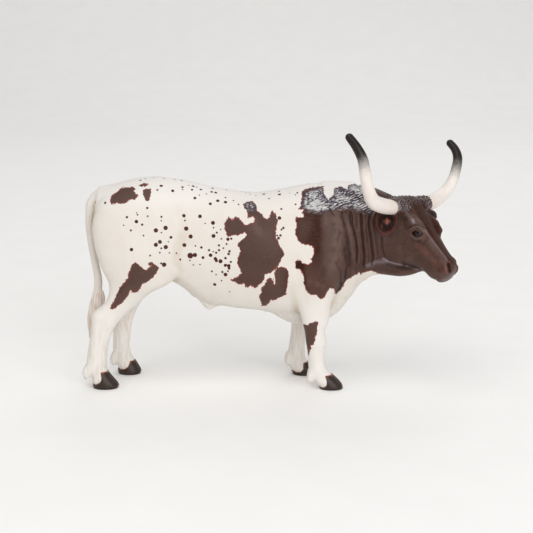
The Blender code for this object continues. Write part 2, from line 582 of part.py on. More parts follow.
def make_flesh_parts(body, cutters):
    """The torso, neck, head, legs, hooves, tail and switch, parted from one skin."""
    skin = make_skin(cutters)
    floor = slab("floor", SOLE_LEVEL * Z, Z, X, 20, cutters)
    modified(skin, "BOOLEAN", operation="DIFFERENCE", object=floor, solver="EXACT")
    whole = skin.data
    parts = {}
    tail = prism("tail_region", TAIL_OUTLINE, -TAIL_HALF, TAIL_HALF, cutters)
    tail_wide = prism("tail_kerf", widened(TAIL_OUTLINE, GAP), -TAIL_HALF - GAP, TAIL_HALF + GAP, cutters)
    above_switch = slab("above_switch", Z * SWITCH_TOP, -Z, X, 200, cutters)
    switch_kerf = slab("switch_kerf", Z * (SWITCH_TOP + GAP), Z, X, 200, cutters)
    parts["tail"] = carve("tail", whole, tail, [switch_kerf], body)
    parts["tail_switch"] = carve("tail_switch", whole, tail, [above_switch], body)
    neck_point, neck_normal = NECK_CUT
    head_point, head_normal = HEAD_CUT
    behind_neck = slab("behind_neck", neck_point, neck_normal, Z, 200, cutters)
    from_neck = slab("from_neck", neck_point - GAP * X, -neck_normal, Z, 200, cutters)
    behind_head = slab("behind_head", head_point, head_normal, Z, 200, cutters)
    from_head = slab("from_head", head_point - GAP * FORWARD, -head_normal, Z, 200, cutters)
    leg_kerfs, leg_cuts = [], {}
    for name, arch, side in (("foreleg_right", FORE_ARCH, -1), ("foreleg_left", FORE_ARCH, 1),
                             ("hindleg_right", HIND_ARCH, -1), ("hindleg_left", HIND_ARCH, 1)):
        if name == "foreleg_left":
            arch = [(x - LEFT_FORE_BACK, z) for x, z in arch]
        low, high = sorted((side * LEG_INNER, side * 40.0))
        leg_cuts[name] = prism(name + "_region", arch, low, high, cutters)
        low, high = sorted((side * (LEG_INNER - GAP), side * 41.0))
        leg_kerfs.append(prism(name + "_kerf", widened(arch, GAP), low, high, cutters))
    for foot, outline in CORONETS.items():
        side = 1 if foot.endswith("left") else -1
        low, high = sorted((side * 1.0, side * 40.0))
        region = prism(foot + "_region", outline[::-1] if clockwise(outline) else outline, low, high, cutters)
        kerf = prism(foot + "_kerf", [(x, z + GAP) for x, z in outline], low, high, cutters)
        leg = foot.replace("hoof_fore", "foreleg").replace("hoof_hind", "hindleg")
        parts[foot] = carve(foot, whole, region, [], body)
        parts[leg] = carve(leg, whole, leg_cuts[leg], [kerf], body)
    parts["neck"] = carve("neck", whole, None, [behind_neck, from_head, *leg_kerfs[:2]], body)
    parts["head"] = carve("head", whole, None, [behind_head], body)
    parts["torso"] = carve("torso", whole, None, [from_neck, tail_wide, *leg_kerfs], body)
    return parts, skin


def clockwise(outline):
    path = np.array(outline, float)
    after = np.roll(path, -1, axis=0)
    return (path[:, 0] * after[:, 1] - path[:, 1] * after[:, 0]).sum() < 0


def horn_path(side):
    """The horn's middle line and its radius: outwards, forwards a little, then up and back."""
    tip = (-4.9, 40.6, 27.2) if side < 0 else (-4.4, 40.2, 24.8)
    keys = np.array([(0, 9, 0), (0, 14, 0.1), (-0.4, 21, 0.9), (-0.4, 27.5, 2.8), (0.6, 33.6, 7.6),
                     (0.9, 37.0, 13.6), (0.3, 38.8, 19.5), (-2.1, 40.0, 24), tip])
    if side > 0:
        keys[-2, 2] -= 1.2
    run = np.concatenate([[0], np.cumsum(np.linalg.norm(np.diff(keys, axis=0), axis=1))])
    run /= run[-1]
    places = np.linspace(0, 1, 19)
    line = eased(run, keys, places)
    radius = eased([0, 0.35, 0.55, 0.8, 1.0], [HORN_ROOT_RADIUS, 2.95, 2.4, 2.05, HORN_TIP_RADIUS], places)
    return np.array([in_head(f, side * s, u) for f, s, u in line]), radius


def make_horn(name, side, collection):
    """Round sections carried along the horn's line, closed by a blunt tip."""
    line, radius = horn_path(side)
    angle = np.linspace(0, 2 * np.pi, 12, endpoint=False)
    direction = np.gradient(line, axis=0)
    direction /= np.linalg.norm(direction, axis=1, keepdims=True)
    across = np.cross(direction, FORWARD)
    across /= np.linalg.norm(across, axis=1, keepdims=True)
    other = np.cross(direction, across)
    turn = np.cos(angle)[:, None], np.sin(angle)[:, None]
    rings = [c + r * (turn[0] * a + turn[1] * b) for c, r, a, b in zip(line, radius, across, other)]
    tip = line[-1]
    for lift in (0.6, 0.9):
        scale = np.sqrt(1 - lift**2) * radius[-1]
        centre = tip + lift * radius[-1] * direction[-1]
        rings.append(centre + scale * (turn[0] * across[-1] + turn[1] * other[-1]))
    mesh = loft(name, np.array(rings), line[0], tip + radius[-1] * direction[-1])
    return add_object(name, mesh, collection)


def ear_section(t, around=18):
    """A cupped section of the ear at t, 0 at its root and 1 at its tip: out of the cup and across."""
    places = [0, 0.15, 0.4, 0.65, 0.85, 1]
    wide = EAR_HALF_WIDTH * np.interp(t, places, [0.52, 0.84, 1.0, 0.94, 0.66, 0.24])
    deep = EAR_DEPTH * np.interp(t, [0, 0.25, 0.6, 1], [0.9, 1.0, 0.8, 0.3])
    wall = EAR_WALL * np.interp(t, [0, 0.3, 1], [1.6, 1.2, 0.8])
    spread = EAR_SPREAD * np.linspace(-1, 1, around // 2)
    across = np.sin(spread) / np.sin(EAR_SPREAD)
    back = np.stack([-deep * np.cos(spread), wide * across], axis=1)
    fore = np.stack([-(deep - 2 * wall) * np.cos(spread), (wide - wall) * across], axis=1)
    return np.concatenate([back, fore[::-1]])


def make_ear(name, collection):
    """A cupped leaf that leaves the head under the horn."""
    root, tip, facing = (np.array(item) for item in EARS[name])
    length = np.linalg.norm(tip - root)
    along = (tip - root) / length
    facing = facing - along * (facing @ along)
    facing /= np.linalg.norm(facing)
    across = np.cross(along, facing)
    rings = []
    for t in np.linspace(0, 1, 10):
        centre = root + t * length * along + 0.8 * facing
        rings.append([in_head(*(centre + a * facing + b * across)) for a, b in ear_section(t)])
    rings = np.array(rings)
    mesh = loft(name, rings, rings[0].mean(0), rings[-1].mean(0))
    return add_object(name, mesh, collection)


def eye_centre(side):
    down, off, aside = EYE_PLACE
    return FACE_START + down * DOWN_FACE + off * OFF_FACE + side * aside * LEFT


def ball(name, centre, radius, collection):
    work = bmesh.new()
    bmesh.ops.create_icosphere(work, subdivisions=2, radius=radius * MM)
    bmesh.ops.translate(work, verts=work.verts, vec=centre * MM)
    mesh = bpy.data.meshes.new(name)
    work.to_mesh(mesh)
    work.free()
    return add_object(name, mesh, collection)


def puffed(mesh, amount, name, collection):
    """A copy of a mesh with every point moved out along its normal."""
    copy = mesh.copy()
    normals = np.empty(len(copy.vertices) * 3)
    copy.vertices.foreach_get("normal", normals)
    spots = coordinates(copy) + amount * normals.reshape(-1, 3)
    copy.vertices.foreach_set("co", (spots * MM).ravel())
    copy.update()
    return cutter(add_object(name, copy, collection))


def make_head_fittings(parts, skin, body, cutters):
    """The eyes in their sockets, and the horns and ears where they leave the head."""
    kerf = puffed(skin.data, GAP, "skin_kerf", cutters)
    for word, side in (("right", -1), ("left", 1)):
        parts["eye_" + word] = ball("eye_" + word, eye_centre(side), EYE_RADIUS, body)
        socket = cutter(ball("socket_" + word, eye_centre(side), EYE_RADIUS + GAP, cutters))
        modified(parts["head"], "BOOLEAN", operation="DIFFERENCE", object=socket, solver="EXACT")
        horn = make_horn("horn_" + word, side, body)
        modified(horn, "BOOLEAN", operation="DIFFERENCE", object=kerf, solver="EXACT")
        keep_largest(horn.data)
        horn_kerf = puffed(horn.data, GAP, "horn_kerf_" + word, cutters)
        ear = make_ear("ear_" + word, body)
        for solid in (kerf, horn_kerf):
            modified(ear, "BOOLEAN", operation="DIFFERENCE", object=solid, solver="EXACT")
        keep_largest(ear.data)
        parts["horn_" + word], parts["ear_" + word] = horn, ear
    keep_largest(parts["head"].data)


def finish(parts):
    """Paints each part, stands the figure over the origin and shades its round surfaces smooth."""
    paints = {"horn": paint("horn cream", HORN_CREAM, 0.35), "hoof": paint("hoof brown", HOOF_BROWN, 0.4),
              "eye": paint("eye black", EYE_BLACK, 0.1), "brown": paint("coat brown", COAT_BROWN, 0.45),
              "white": paint("coat white", COAT_WHITE, 0.5)}
    for name, thing in parts.items():
        kind = name.split("_")[0]
        kind = "brown" if kind in ("head", "neck", "ear") else kind
        thing.data.materials.clear()
        thing.data.materials.append(paints.get(kind, paints["white"]))
        spots = coordinates(thing.data) - [CENTRE_X, CENTRE_Y, SOLE_LEVEL]
        thing.data.vertices.foreach_set("co", (spots * MM).ravel())
        thing.data.update()
        thing.data.shade_smooth()
        thing.data.set_sharp_from_angle(angle=np.radians(50))


def main():
    for old in list(bpy.data.objects):
        bpy.data.objects.remove(old)
    body = bpy.data.collections.new("longhorn")
    cutters = bpy.data.collections.new("cutters")
    for collection in (body, cutters):
        bpy.context.scene.collection.children.link(collection)
    parts, skin = make_flesh_parts(body, cutters)
    make_head_fittings(parts, skin, body, cutters)
    finish(parts)
    for thing in list(cutters.objects):
        bpy.data.objects.remove(thing)
    bpy.data.collections.remove(cutters)


main()
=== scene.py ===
"""Texas longhorn, a hand-painted toy figure moulded in vinyl: its coat, horns, hooves and studio.

Shapes are worked out in millimetres in the figure's working frame, in which X runs from tail to
muzzle, Y to the animal's left and Z up from just under the soles. Each finished mesh is then
moved so that the figure stands over the origin, and turned to metres.
"""

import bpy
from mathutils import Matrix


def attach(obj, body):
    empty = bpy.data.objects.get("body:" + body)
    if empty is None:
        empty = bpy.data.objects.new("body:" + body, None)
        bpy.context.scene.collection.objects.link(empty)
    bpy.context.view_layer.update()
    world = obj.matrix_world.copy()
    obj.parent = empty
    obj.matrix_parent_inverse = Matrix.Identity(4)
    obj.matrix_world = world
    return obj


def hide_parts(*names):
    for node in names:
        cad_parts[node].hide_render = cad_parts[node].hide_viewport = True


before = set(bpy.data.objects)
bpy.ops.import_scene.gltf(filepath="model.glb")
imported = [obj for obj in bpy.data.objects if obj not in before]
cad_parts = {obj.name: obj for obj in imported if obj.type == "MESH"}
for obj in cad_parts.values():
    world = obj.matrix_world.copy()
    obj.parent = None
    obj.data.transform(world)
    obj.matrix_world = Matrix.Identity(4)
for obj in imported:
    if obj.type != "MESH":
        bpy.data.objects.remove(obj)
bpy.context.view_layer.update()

import bmesh
import bpy
import numpy as np
from mathutils import Matrix, Vector
from mathutils.bvhtree import BVHTree

bl_info = {
    "name": "Longhorn toy figure",
    "version": (1, 0, 0),
    "blender": (4, 5, 0),
    "location": "3D View > Sidebar > Longhorn",
    "description": "Makes the painted skin, horns, hooves and studio of a toy longhorn",
    "category": "Object",
}

MM = 0.001
MIDDLE = np.array([4.0, -0.91, 1.3])
SOLE_LEVEL = 1.3

X = np.array([1.0, 0.0, 0.0])
Y = np.array([0.0, 1.0, 0.0])
Z = np.array([0.0, 0.0, 1.0])

# The head: turned to the animal's right and rolled a little, the face sloping down.
HEAD_YAW = 35.5
HEAD_ROLL = 5.0
FACE_SLOPE = 40.0
POLL = np.array([57.8, -4.0, 76.4])
HEAD_RELIEF_BEHIND = 9.0
HEAD_RELIEF_FROM = 40.0

# The camera stands off the figure's right side. A picture is 533 points across.
PICTURE = 533.0
LENS = 85.0
SENSOR = 36.0
CAMERA_TURN = 0.5
CAMERA_RISE = 12.0
CAMERA_DISTANCE = 520.0
CAMERA_TARGET = np.array([0.0, 0.0, 50.2])


def camera_axes():
    """The camera's right, up and backward directions."""
    turn, rise = np.radians([CAMERA_TURN, CAMERA_RISE])
    back = np.array([np.sin(turn) * np.cos(rise), -np.cos(turn) * np.cos(rise), np.sin(rise)])
    right = np.array([np.cos(turn), np.sin(turn), 0.0])
    return right, np.cross(back, right), back


VIEW_RIGHT, VIEW_UP, VIEW_BACK = camera_axes()
EYE_POINT = CAMERA_TARGET + CAMERA_DISTANCE * VIEW_BACK


def from_picture(points):
    """Places on the figure's middle plane (x, z) that show at these points of the picture."""
    points = np.asarray(points, float)
    scale = PICTURE * LENS / SENSOR
    rays = ((points[:, :1] - PICTURE / 2) / scale * VIEW_RIGHT
            + (PICTURE / 2 - points[:, 1:2]) / scale * VIEW_UP - VIEW_BACK)
    return (EYE_POINT - EYE_POINT[1] / rays[:, 1:2] * rays)[:, [0, 2]]


def stencil(points):
    """Where the line from the camera through each point meets the middle plane (x, z)."""
    reach = EYE_POINT[1] / (EYE_POINT[1] - points[:, 1])
    return (EYE_POINT + reach[:, None] * (points - EYE_POINT))[:, [0, 2]]


def head_axes():
    """The head's own forward, left and up directions."""
    yaw, roll = np.radians([HEAD_YAW, HEAD_ROLL])
    forward = np.array([np.cos(yaw), -np.sin(yaw), 0.0])
    left = np.array([np.sin(yaw) * np.cos(roll), np.cos(yaw) * np.cos(roll), -np.sin(roll)])
    return forward, left, np.cross(forward, left)


FORWARD, LEFT, UP = head_axes()
SLOPE = np.radians(FACE_SLOPE)
DOWN_FACE = np.cos(SLOPE) * FORWARD - np.sin(SLOPE) * UP
OFF_FACE = np.sin(SLOPE) * FORWARD + np.cos(SLOPE) * UP


def in_head(forward, left, up):
    """A place on the head, measured from the poll."""
    return POLL + forward * FORWARD + left * LEFT + up * UP


FACE_START = in_head(-3.0, 0.0, -9.0)


# The forms of the flesh.


def eased(keys, values, places):
    """A cubic through the keys, with its slopes taken from the neighbouring keys."""
    keys, values, places = (np.asarray(item, float) for item in (keys, values, places))
    slopes = np.gradient(values, keys, axis=0)
    span = np.clip(np.searchsorted(keys, places) - 1, 0, len(keys) - 2)
    width = keys[span + 1] - keys[span]
    t = (places - keys[span]) / width
    if values.ndim > 1:
        width, t = width[:, None], t[:, None]
    start = (2 * t**3 - 3 * t**2 + 1) * values[span] + (t**3 - 2 * t**2 + t) * width * slopes[span]
    return start + (3 * t**2 - 2 * t**3) * values[span + 1] + (t**3 - t**2) * width * slopes[span + 1]


class Form:
    """A rounded section carried along a straight line.

    A station is its place on the line, the section's high and low edges, its half width, the
    level of its widest line and its shift sideways; the last two may be left out. The section is
    |up / height| ** n + |across / half width| ** n = 1, with n the form's squareness.
    """

    def __init__(self, stations, origin=(0, 0, 0), along=X, high=Z, side=Y,
                 square=2.2, ends=(3, 3), blend=3.0):
        full = []
        for row in stations:
            middle = row[4] if len(row) > 4 else (row[1] + row[2]) / 2
            full.append([*row[:4], middle, row[5] if len(row) > 5 else 0.0])
        full = np.array(sorted(full))
        self.places = np.linspace(full[0, 0], full[-1, 0], 80)
        dense = eased(full[:, 0], full[:, 1:], self.places)
        self.middle, self.shift = dense[:, 3], dense[:, 4]
        self.above = np.maximum(dense[:, 0] - self.middle, 0.3)
        self.below = np.maximum(self.middle - dense[:, 1], 0.3)
        self.half = np.maximum(dense[:, 2], 0.3)
        self.origin = np.array(origin, float)
        self.along, self.high, self.side = along, high, side
        self.square, self.ends, self.blend = square, ends, blend
        rings, first, last = self.rings(around=16)
        cloud = np.concatenate([rings.reshape(-1, 3), [first, last]])
        self.box = cloud.min(0) - self.blend - 2.0, cloud.max(0) + self.blend + 2.0

    def at(self, column, place):
        """A station's measure at a place on the line, between its dense stations in proportion."""
        return np.interp(place, self.places, column)

    def near(self, points):
        """Which points lie in the box round the form."""
        return np.all((points > self.box[0]) & (points < self.box[1]), axis=1)

    def outside(self, points):
        """About how far points lie outside the form; less than nothing inside it."""
        local = points - self.origin
        place = local @ self.along
        nearest = np.clip(place, self.places[0], self.places[-1])
        over = place - nearest
        up = local @ self.high - self.at(self.middle, nearest)
        across = local @ self.side - self.at(self.shift, nearest)
        tall = np.where(up > 0, self.at(self.above, nearest), self.at(self.below, nearest))
        cap = np.where(over < 0, self.ends[0], self.ends[1])
        power = self.square
        reach = (np.abs(up) / tall) ** power
        reach += (np.abs(across) / self.at(self.half, nearest)) ** power
        reach += (np.abs(over) / cap) ** power
        reach = np.maximum(reach, 1e-6) ** (1 / power)
        return np.sqrt(up**2 + across**2 + over**2) * (1 - 1 / reach)

    def section(self, place, angle):
        """Points of the section at a place on the line: its two directions at each angle."""
        cosine, sine = np.cos(angle), np.sin(angle)
        upward = np.sign(cosine) * np.abs(cosine) ** (2 / self.square)
        sideways = np.sign(sine) * np.abs(sine) ** (2 / self.square)
        tall = np.where(upward > 0, self.at(self.above, place), self.at(self.below, place))
        return (self.at(self.middle, place) + tall * upward,
                self.at(self.shift, place) + self.at(self.half, place) * sideways)

    def rings(self, around=36, cap_rings=5, every=2):
        """The form's surface as rings of points, with one more point closing each end."""
        angle = np.linspace(0, 2 * np.pi, around, endpoint=False)
        turn = np.linspace(0, np.pi / 2, cap_rings, endpoint=False)
        stops = [(0, np.cos(a), -self.ends[0] * np.sin(a)) for a in turn[:0:-1]]
        stops += [(k, 1.0, 0.0) for k in range(0, len(self.places), every)]
        stops += [(-1, np.cos(a), self.ends[1] * np.sin(a)) for a in turn[1:]]
        out = []
        for k, scale, over in stops:
            place = self.places[k]
            up, across = self.section(place, angle)
            up = self.middle[k] + (up - self.middle[k]) * scale
            across = self.shift[k] + (across - self.shift[k]) * scale
            out.append(self.origin + (place + over) * self.along
                       + np.multiply.outer(up, self.high) + np.multiply.outer(across, self.side))
        ends = [self.origin + (self.places[k] + over) * self.along + self.middle[k] * self.high
                + self.shift[k] * self.side for k, over in ((0, -self.ends[0]), (-1, self.ends[1]))]
        return np.array(out), ends[0], ends[1]


def trunk_forms():
    """The barrel, the brisket under it, the neck, the throat and the sheath."""
    barrel = [(-67.6, 82.8, 62, 8.0, 74), (-62, 84.6, 54, 11.5, 73), (-53, 86.8, 50, 14.4, 72),
              (-44, 87.4, 46.5, 15.4, 69), (-35, 86.3, 42.2, 15.0, 63), (-30, 85.3, 38.2, 15.0, 61),
              (-24, 83.8, 35.6, 15.5, 59), (-15, 82.1, 33.6, 16.6, 57), (-4, 81.1, 32.5, 17.4, 56),
              (6, 82.5, 31.4, 17.4, 56), (16, 84.5, 31, 16.4, 57.5), (26, 84.9, 33, 14.6, 60),
              (34, 84.6, 39, 12.4, 62)]
    brisket = [(1, 60, 32.8, 7.6, 43), (6.3, 60, 28.2, 7.4, 43), (11.5, 60, 25.9, 6.8, 43),
               (19, 60, 25.3, 6.4, 43), (26.5, 60, 28.6, 6.8, 44), (31.7, 62, 33.3, 7.0, 47),
               (34.8, 64, 38.3, 7, 51), (37.4, 66, 42.6, 6.8, 55), (40, 66, 45.3, 6.4, 57)]
    neck = [(24, 84.4, 42, 14, 63, 0), (31, 84.6, 43, 13.0, 64, 0), (37.3, 84.4, 45, 12.2, 65, -0.6),
            (43.6, 83.4, 48.5, 10.8, 66, -1.6), (47.8, 81.8, 49.5, 9.5, 66, -2.6),
            (53, 79.4, 51, 8.2, 66, -4)]
    throat = [(38, 60, 43.8, 6.2, 53, -0.4), (41.5, 60, 46.1, 5.8, 53, -0.8),
              (46, 58, 47.5, 5.4, 52.5, -1.2), (50, 57, 47.2, 5, 51.5, -1.6),
              (54.8, 56, 47.0, 4.6, 51, -3), (59.6, 54, 48.3, 4.2, 51, -5.3),
              (63.5, 53, 50.6, 3.4, 51.8, -8)]
    sheath = [(-29, 41, 37.6, 2.8), (-25.8, 40, 33.2, 2.5), (-23.4, 39, 31.8, 2.0),
              (-21, 39, 33.4, 2.2), (-17, 39, 35, 2.4)]
    return [Form(barrel, square=2.3, ends=(2.4, 5)), Form(brisket, square=2.1, ends=(5, 3), blend=4),
            Form(neck, ends=(5, 4), blend=4), Form(throat, ends=(3, 2), blend=2.5),
            Form(sheath, ends=(2, 2), blend=2.5)]


def head_forms():
    """The skull and jaws along the face, the crown between the horns, the brows and the muzzle."""
    skull = [(-5, 11.0, -4.5, 9.4, 4), (-1, 11.6, -7.6, 9.2, 4), (4, 11.0, -10.3, 8.7, 4),
             (8.5, 10.2, -11.2, 8.1, 3.5), (13, 9.2, -8.2, 6.7, 2.6), (17, 8.4, -5.4, 5.6, 2.2),
             (21, 7.7, -4.4, 5.1, 2), (24.5, 7.2, -4.1, 5.1, 1.8), (27.0, 6.8, -2.9, 5.0, 1.8)]
    face = dict(origin=FACE_START, along=DOWN_FACE, high=OFF_FACE, side=LEFT)
    forms = [Form(skull, square=2.5, ends=(3.5, 2.8), blend=3, **face)]
    crown = [(-10.5, 2.4, -3.2, 3.3, -0.4, -0.5), (-6, 3.1, -6, 4.2, -2, -1.0), (0, 3.3, -7, 4.4, -2, -1.0),
             (6, 3.1, -6, 4.2, -2, -1.0), (10.5, 2.4, -3.2, 3.3, -0.4, -0.5)]
    forms.append(Form(crown, origin=POLL, along=LEFT, high=UP, side=FORWARD, ends=(1.6, 1.6), blend=2))
    for side in (-1, 1):
        brow = [(4.5, 10.2, 6.4, 1.3, 8.4, 6.6 * side), (7.5, 10.9, 6.4, 1.7, 8.6, 6.7 * side),
                (10.5, 10.2, 6.2, 1.4, 8.2, 6.3 * side)]
        forms.append(Form(brow, ends=(2.2, 1.8), blend=2.2, **face))
        lid = [(8.2, 7.6, 5.2, 1.2, 6.4, 6.3 * side), (10.2, 8.3, 4.6, 1.5, 6.4, 6.5 * side),
               (12.2, 7.9, 5.4, 1.2, 6.7, 6.0 * side)]
        forms.append(Form(lid, ends=(1.4, 1.2), blend=1.4, **face))
        nostril = [(25.2, 6.4, 3, 1.3, 5, 3.6 * side), (27.4, 5.7, 2.6, 1.3, 4.6, 3.4 * side)]
        forms.append(Form(nostril, ends=(2, 1.4), blend=1.6, **face))
        collar = [(7.5, 3.5, -3.5, 3.4), (11, 3.55, -3.5, 3.5), (13.5, 3.5, -3.2, 3.4)]
        forms.append(Form(collar, origin=POLL, along=side * LEFT, high=UP, side=FORWARD, square=2.0,
                          ends=(1.0, 0.7), blend=1.2))
    return forms


def leg_form(side, rows):
    """A leg from its sole up: height, rear edge, front edge, half width, distance from the middle."""
    stations = [(z, front, rear, half, (front + rear) / 2, side * out) for z, rear, front, half, out in rows]
    return Form(stations, along=Z, high=X, side=Y, square=2.15, ends=(1.5, 4), blend=2.6)


# The legs, named for the side of the figure that they stand on: near is its right.
NEAR_FORE = [(0.3, 22.3, 31.4, 3.9, 10.6), (2.4, 21.8, 31.4, 4.0, 10.6), (4.2, 20.2, 30.2, 3.9, 10.6),
             (6.6, 18.7, 27.8, 3.6, 10.6), (8.9, 17.6, 25.4, 3.6, 10.6), (12.5, 17.2, 24.2, 3.1, 10.6),
             (17, 16.9, 24.1, 3.1, 10.7),
             (21.3, 16.2, 24.4, 3.6, 10.8), (25.1, 15.8, 24.1, 3.6, 10.9), (29.9, 14.6, 25.4, 3.9, 11.1),
             (36.7, 12.9, 26.3, 4.5, 11.3), (43, 10.8, 28.2, 5.0, 11.5), (51, 9.2, 31.5, 5.6, 11.2),
             (61, 11, 32, 5.6, 9.6), (71, 15, 31, 4.8, 7.6)]
FAR_FORE = [(0.3, 11.6, 20.4, 3.9, 10.0), (2.4, 11.0, 20.5, 4.0, 10.0), (4.2, 10.0, 19.4, 3.9, 10.0),
            (6.6, 9.1, 17.6, 3.6, 10.0), (8.9, 8.7, 16.5, 3.6, 10.0), (12.5, 9.3, 16.3, 3.1, 10.1),
            (17, 10.0, 16.5, 3.1, 10.2),
            (22.5, 10.5, 17.6, 3.5, 10.4), (29, 10.2, 19.2, 3.9, 10.8), (36.7, 9.6, 21.8, 4.5, 11.2),
            (43, 8.6, 25.0, 5.0, 11.4), (51, 8, 28, 5.6, 11.2), (61, 9.5, 30, 5.6, 9.6),
            (71, 13, 29, 4.8, 7.6)]
NEAR_HIND = [(0.3, -71.1, -62.0, 3.9, 10.4), (2.4, -71.5, -61.0, 4.0, 10.4),
             (4.2, -71.7, -62.2, 3.9, 10.4), (6.6, -72.4, -64.2, 3.6, 10.4),
             (9.2, -73.8, -65.6, 3.6, 10.4),
             (13.5, -73.8, -65.6, 3.1, 10.4), (18.4, -73.0, -65.0, 3.0, 10.4),
             (24, -72.0, -63.4, 3.1, 10.5), (28.9, -71.5, -60.6, 3.4, 10.6), (32.9, -70.9, -56.8, 3.7, 10.6),
             (37, -66.2, -52.0, 4.1, 10.7), (41.7, -63.9, -46.6, 4.8, 10.9), (45.3, -63.9, -39.6, 5.4, 10.9),
             (50.7, -66.3, -36.0, 6.2, 10.8), (56.6, -68.4, -35, 6.8, 10.5), (63.3, -69.8, -36, 6.8, 10.0),
             (70.8, -70.0, -38, 6.2, 9.2), (77, -67.6, -42, 5.0, 8.0)]
FAR_HIND = [(0.3, -63.2, -54.6, 3.9, 10.4), (2.4, -63.7, -54.0, 4.0, 10.4), (4.2, -63.8, -54.8, 3.9, 10.4),
            (6.6, -64.4, -56.2, 3.6, 10.4), (9.2, -65.5, -57.8, 3.6, 10.4), (13, -65.6, -58.7, 3.1, 10.4),
            (18.5, -65.5, -58.1, 3.0, 10.4),
            (23, -65.2, -57.5, 3.1, 10.5), (27, -64.6, -56.2, 3.3, 10.6), (31, -63.6, -54.4, 3.6, 10.6),
            (36, -60.4, -50.6, 4.1, 10.7), (41.7, -59.4, -44.6, 4.8, 10.9), (45.3, -60.4, -39.4, 5.4, 10.9),
            (50.7, -64.0, -36, 6.2, 10.8), (56.6, -67.0, -35, 6.8, 10.5), (63.3, -68.9, -36, 6.8, 10.0),
            (70.8, -69.5, -38, 6.2, 9.2), (77, -67.4, -42, 5.0, 8.0)]

# Each hoof: its leg's rows, its side, and the coronet, the line where the hoof begins (x, z).
FEET = {
    "hoof_fore_right": (NEAR_FORE, -1, [(18, 2.0), (23.2, 2.2), (25.0, 3.3), (26.5, 4.9), (27.9, 7.2)]),
    "hoof_fore_left": (FAR_FORE, 1, [(6, 4.9), (12, 2.6), (14.3, 2.8), (16.3, 4.1), (18.2, 6.7)]),
    "hoof_hind_right": (NEAR_HIND, -1, [(-76, 2.9), (-69.8, 3.3), (-67.6, 4.3), (-66, 5.8), (-64.5, 8.3)]),
    "hoof_hind_left": (FAR_HIND, 1, [(-68, 3.7), (-62.4, 3.5), (-60.4, 3.8), (-58.4, 4.9), (-56.1, 7.1)]),
}


def dewclaws(side, rear, out, lowered=0.0):
    """Two small claws that hang behind a fetlock, one on each side of it."""
    forms = []
    for across in (-1.9, 1.9):
        rows = [(5.9 - lowered, rear + 0.1, rear + 2.0, 0.9, out + across),
                (7.6 - lowered, rear - 0.5, rear + 3.4, 1.2, out + across),
                (9.6 - lowered, rear, rear + 4.2, 1.2, out + across)]
        forms.append(leg_form(side, rows))
        forms[-1].ends, forms[-1].blend = (0.8, 1.5), 0.9
    return forms


def limb_forms():
    """The four legs, with the claws behind their fetlocks."""
    forms = [leg_form(-1, NEAR_FORE), leg_form(1, FAR_FORE), leg_form(-1, NEAR_HIND), leg_form(1, FAR_HIND)]
    forms += dewclaws(-1, 17.0, 10.6, 1.4) + dewclaws(1, 8.1, 10.0)
    forms += dewclaws(-1, -75.2, 10.4) + dewclaws(1, -66.6, 10.4)
    return forms


# The hair at the tail's end: height, front and rear edge, half width, middle, distance sideways.
SWITCH = [(17.5, -72.3, -73.9, 0.7, -73.1, 1), (21.5, -71.0, -74.4, 1.9, -72.7, 1),
          (26, -69.6, -74.7, 2.5, -72.2, 1), (31, -68.4, -74.3, 2.7, -71.4, 1),
          (36, -67.4, -73.0, 2.4, -70.3, 0.6), (41, -68.2, -71.8, 1.8, -69.9, 0)]


def tail_form():
    """The tail from its head down to where the switch of hair begins."""
    tail = [(39, -68.4, -71.9, 1.9), (44.4, -68.1, -71.4, 1.7), (52, -69.4, -72.4, 1.7),
            (59, -70.4, -73.5, 1.8), (65.4, -70.8, -74.2, 2.0), (71.7, -70.4, -74.2, 2.3),
            (77.9, -68.0, -73.2, 2.6), (81.0, -63, -71.0, 2.9), (83.0, -58, -68.6, 2.9)]
    return Form(tail, ends=(1, 1), blend=1.4, along=Z, high=X, side=Y, square=2.1)


# The relief: raised and sunk lines of the moulding.

# Lines of the body, drawn on the picture and mirrored for the far side: half width, height (less
# than nothing is a groove), both in millimetres, and points.
BODY_LINES = [
    (3.2, 0.55, [(163, 195), (169, 200)]),
    (3.4, -0.34, [(178, 207), (181, 220), (181, 238), (177, 254)]),
    (4.5, -0.30, [(190, 214), (192, 240)]),
    (3.4, 0.35, [(168, 226), (166, 250)]),
    (1.5, 0.40, [(174, 271), (188, 283), (206, 297)]),
    (5.0, -0.30, [(290, 215), (287, 250), (292, 285)]),
    (1.2, -0.25, [(300, 262), (303, 288), (306, 306)]),
    (2.0, 0.30, [(321, 306), (323, 320)]),
    (0.7, -0.24, [(322, 318), (325, 330), (323, 338)]),
    (1.5, 0.34, [(327, 336), (328, 345)]),
    (0.7, -0.28, [(318, 336), (319, 352), (319, 368)]),
    (0.7, 0.24, [(314.5, 340), (315.5, 356), (316, 372)]),
    (0.7, -0.20, [(325, 350), (325, 366)]),
    (0.6, -0.26, [(321, 374), (327, 372), (333, 370)]),
    (0.6, -0.22, [(323, 379), (329, 376), (334, 373)]),
    (2.0, -0.45, [(118, 292), (112, 304), (104, 322)]),
    (1.2, 0.36, [(95, 312), (98, 320)]),
    (0.7, -0.30, [(100, 322), (98, 340), (96, 362)]),
    (0.7, 0.24, [(95.5, 326), (93.5, 344), (92, 362)]),
    (1.4, 0.30, [(107, 318), (106, 328)]),
    (0.7, -0.22, [(105, 336), (103, 352), (103, 364)]),
    (0.6, -0.26, [(95, 371), (101, 369), (107, 366)]),
    (0.6, -0.22, [(96, 376), (102, 373), (108, 369)]),
    (4.5, 0.35, [(120, 224), (130, 246)]),
]

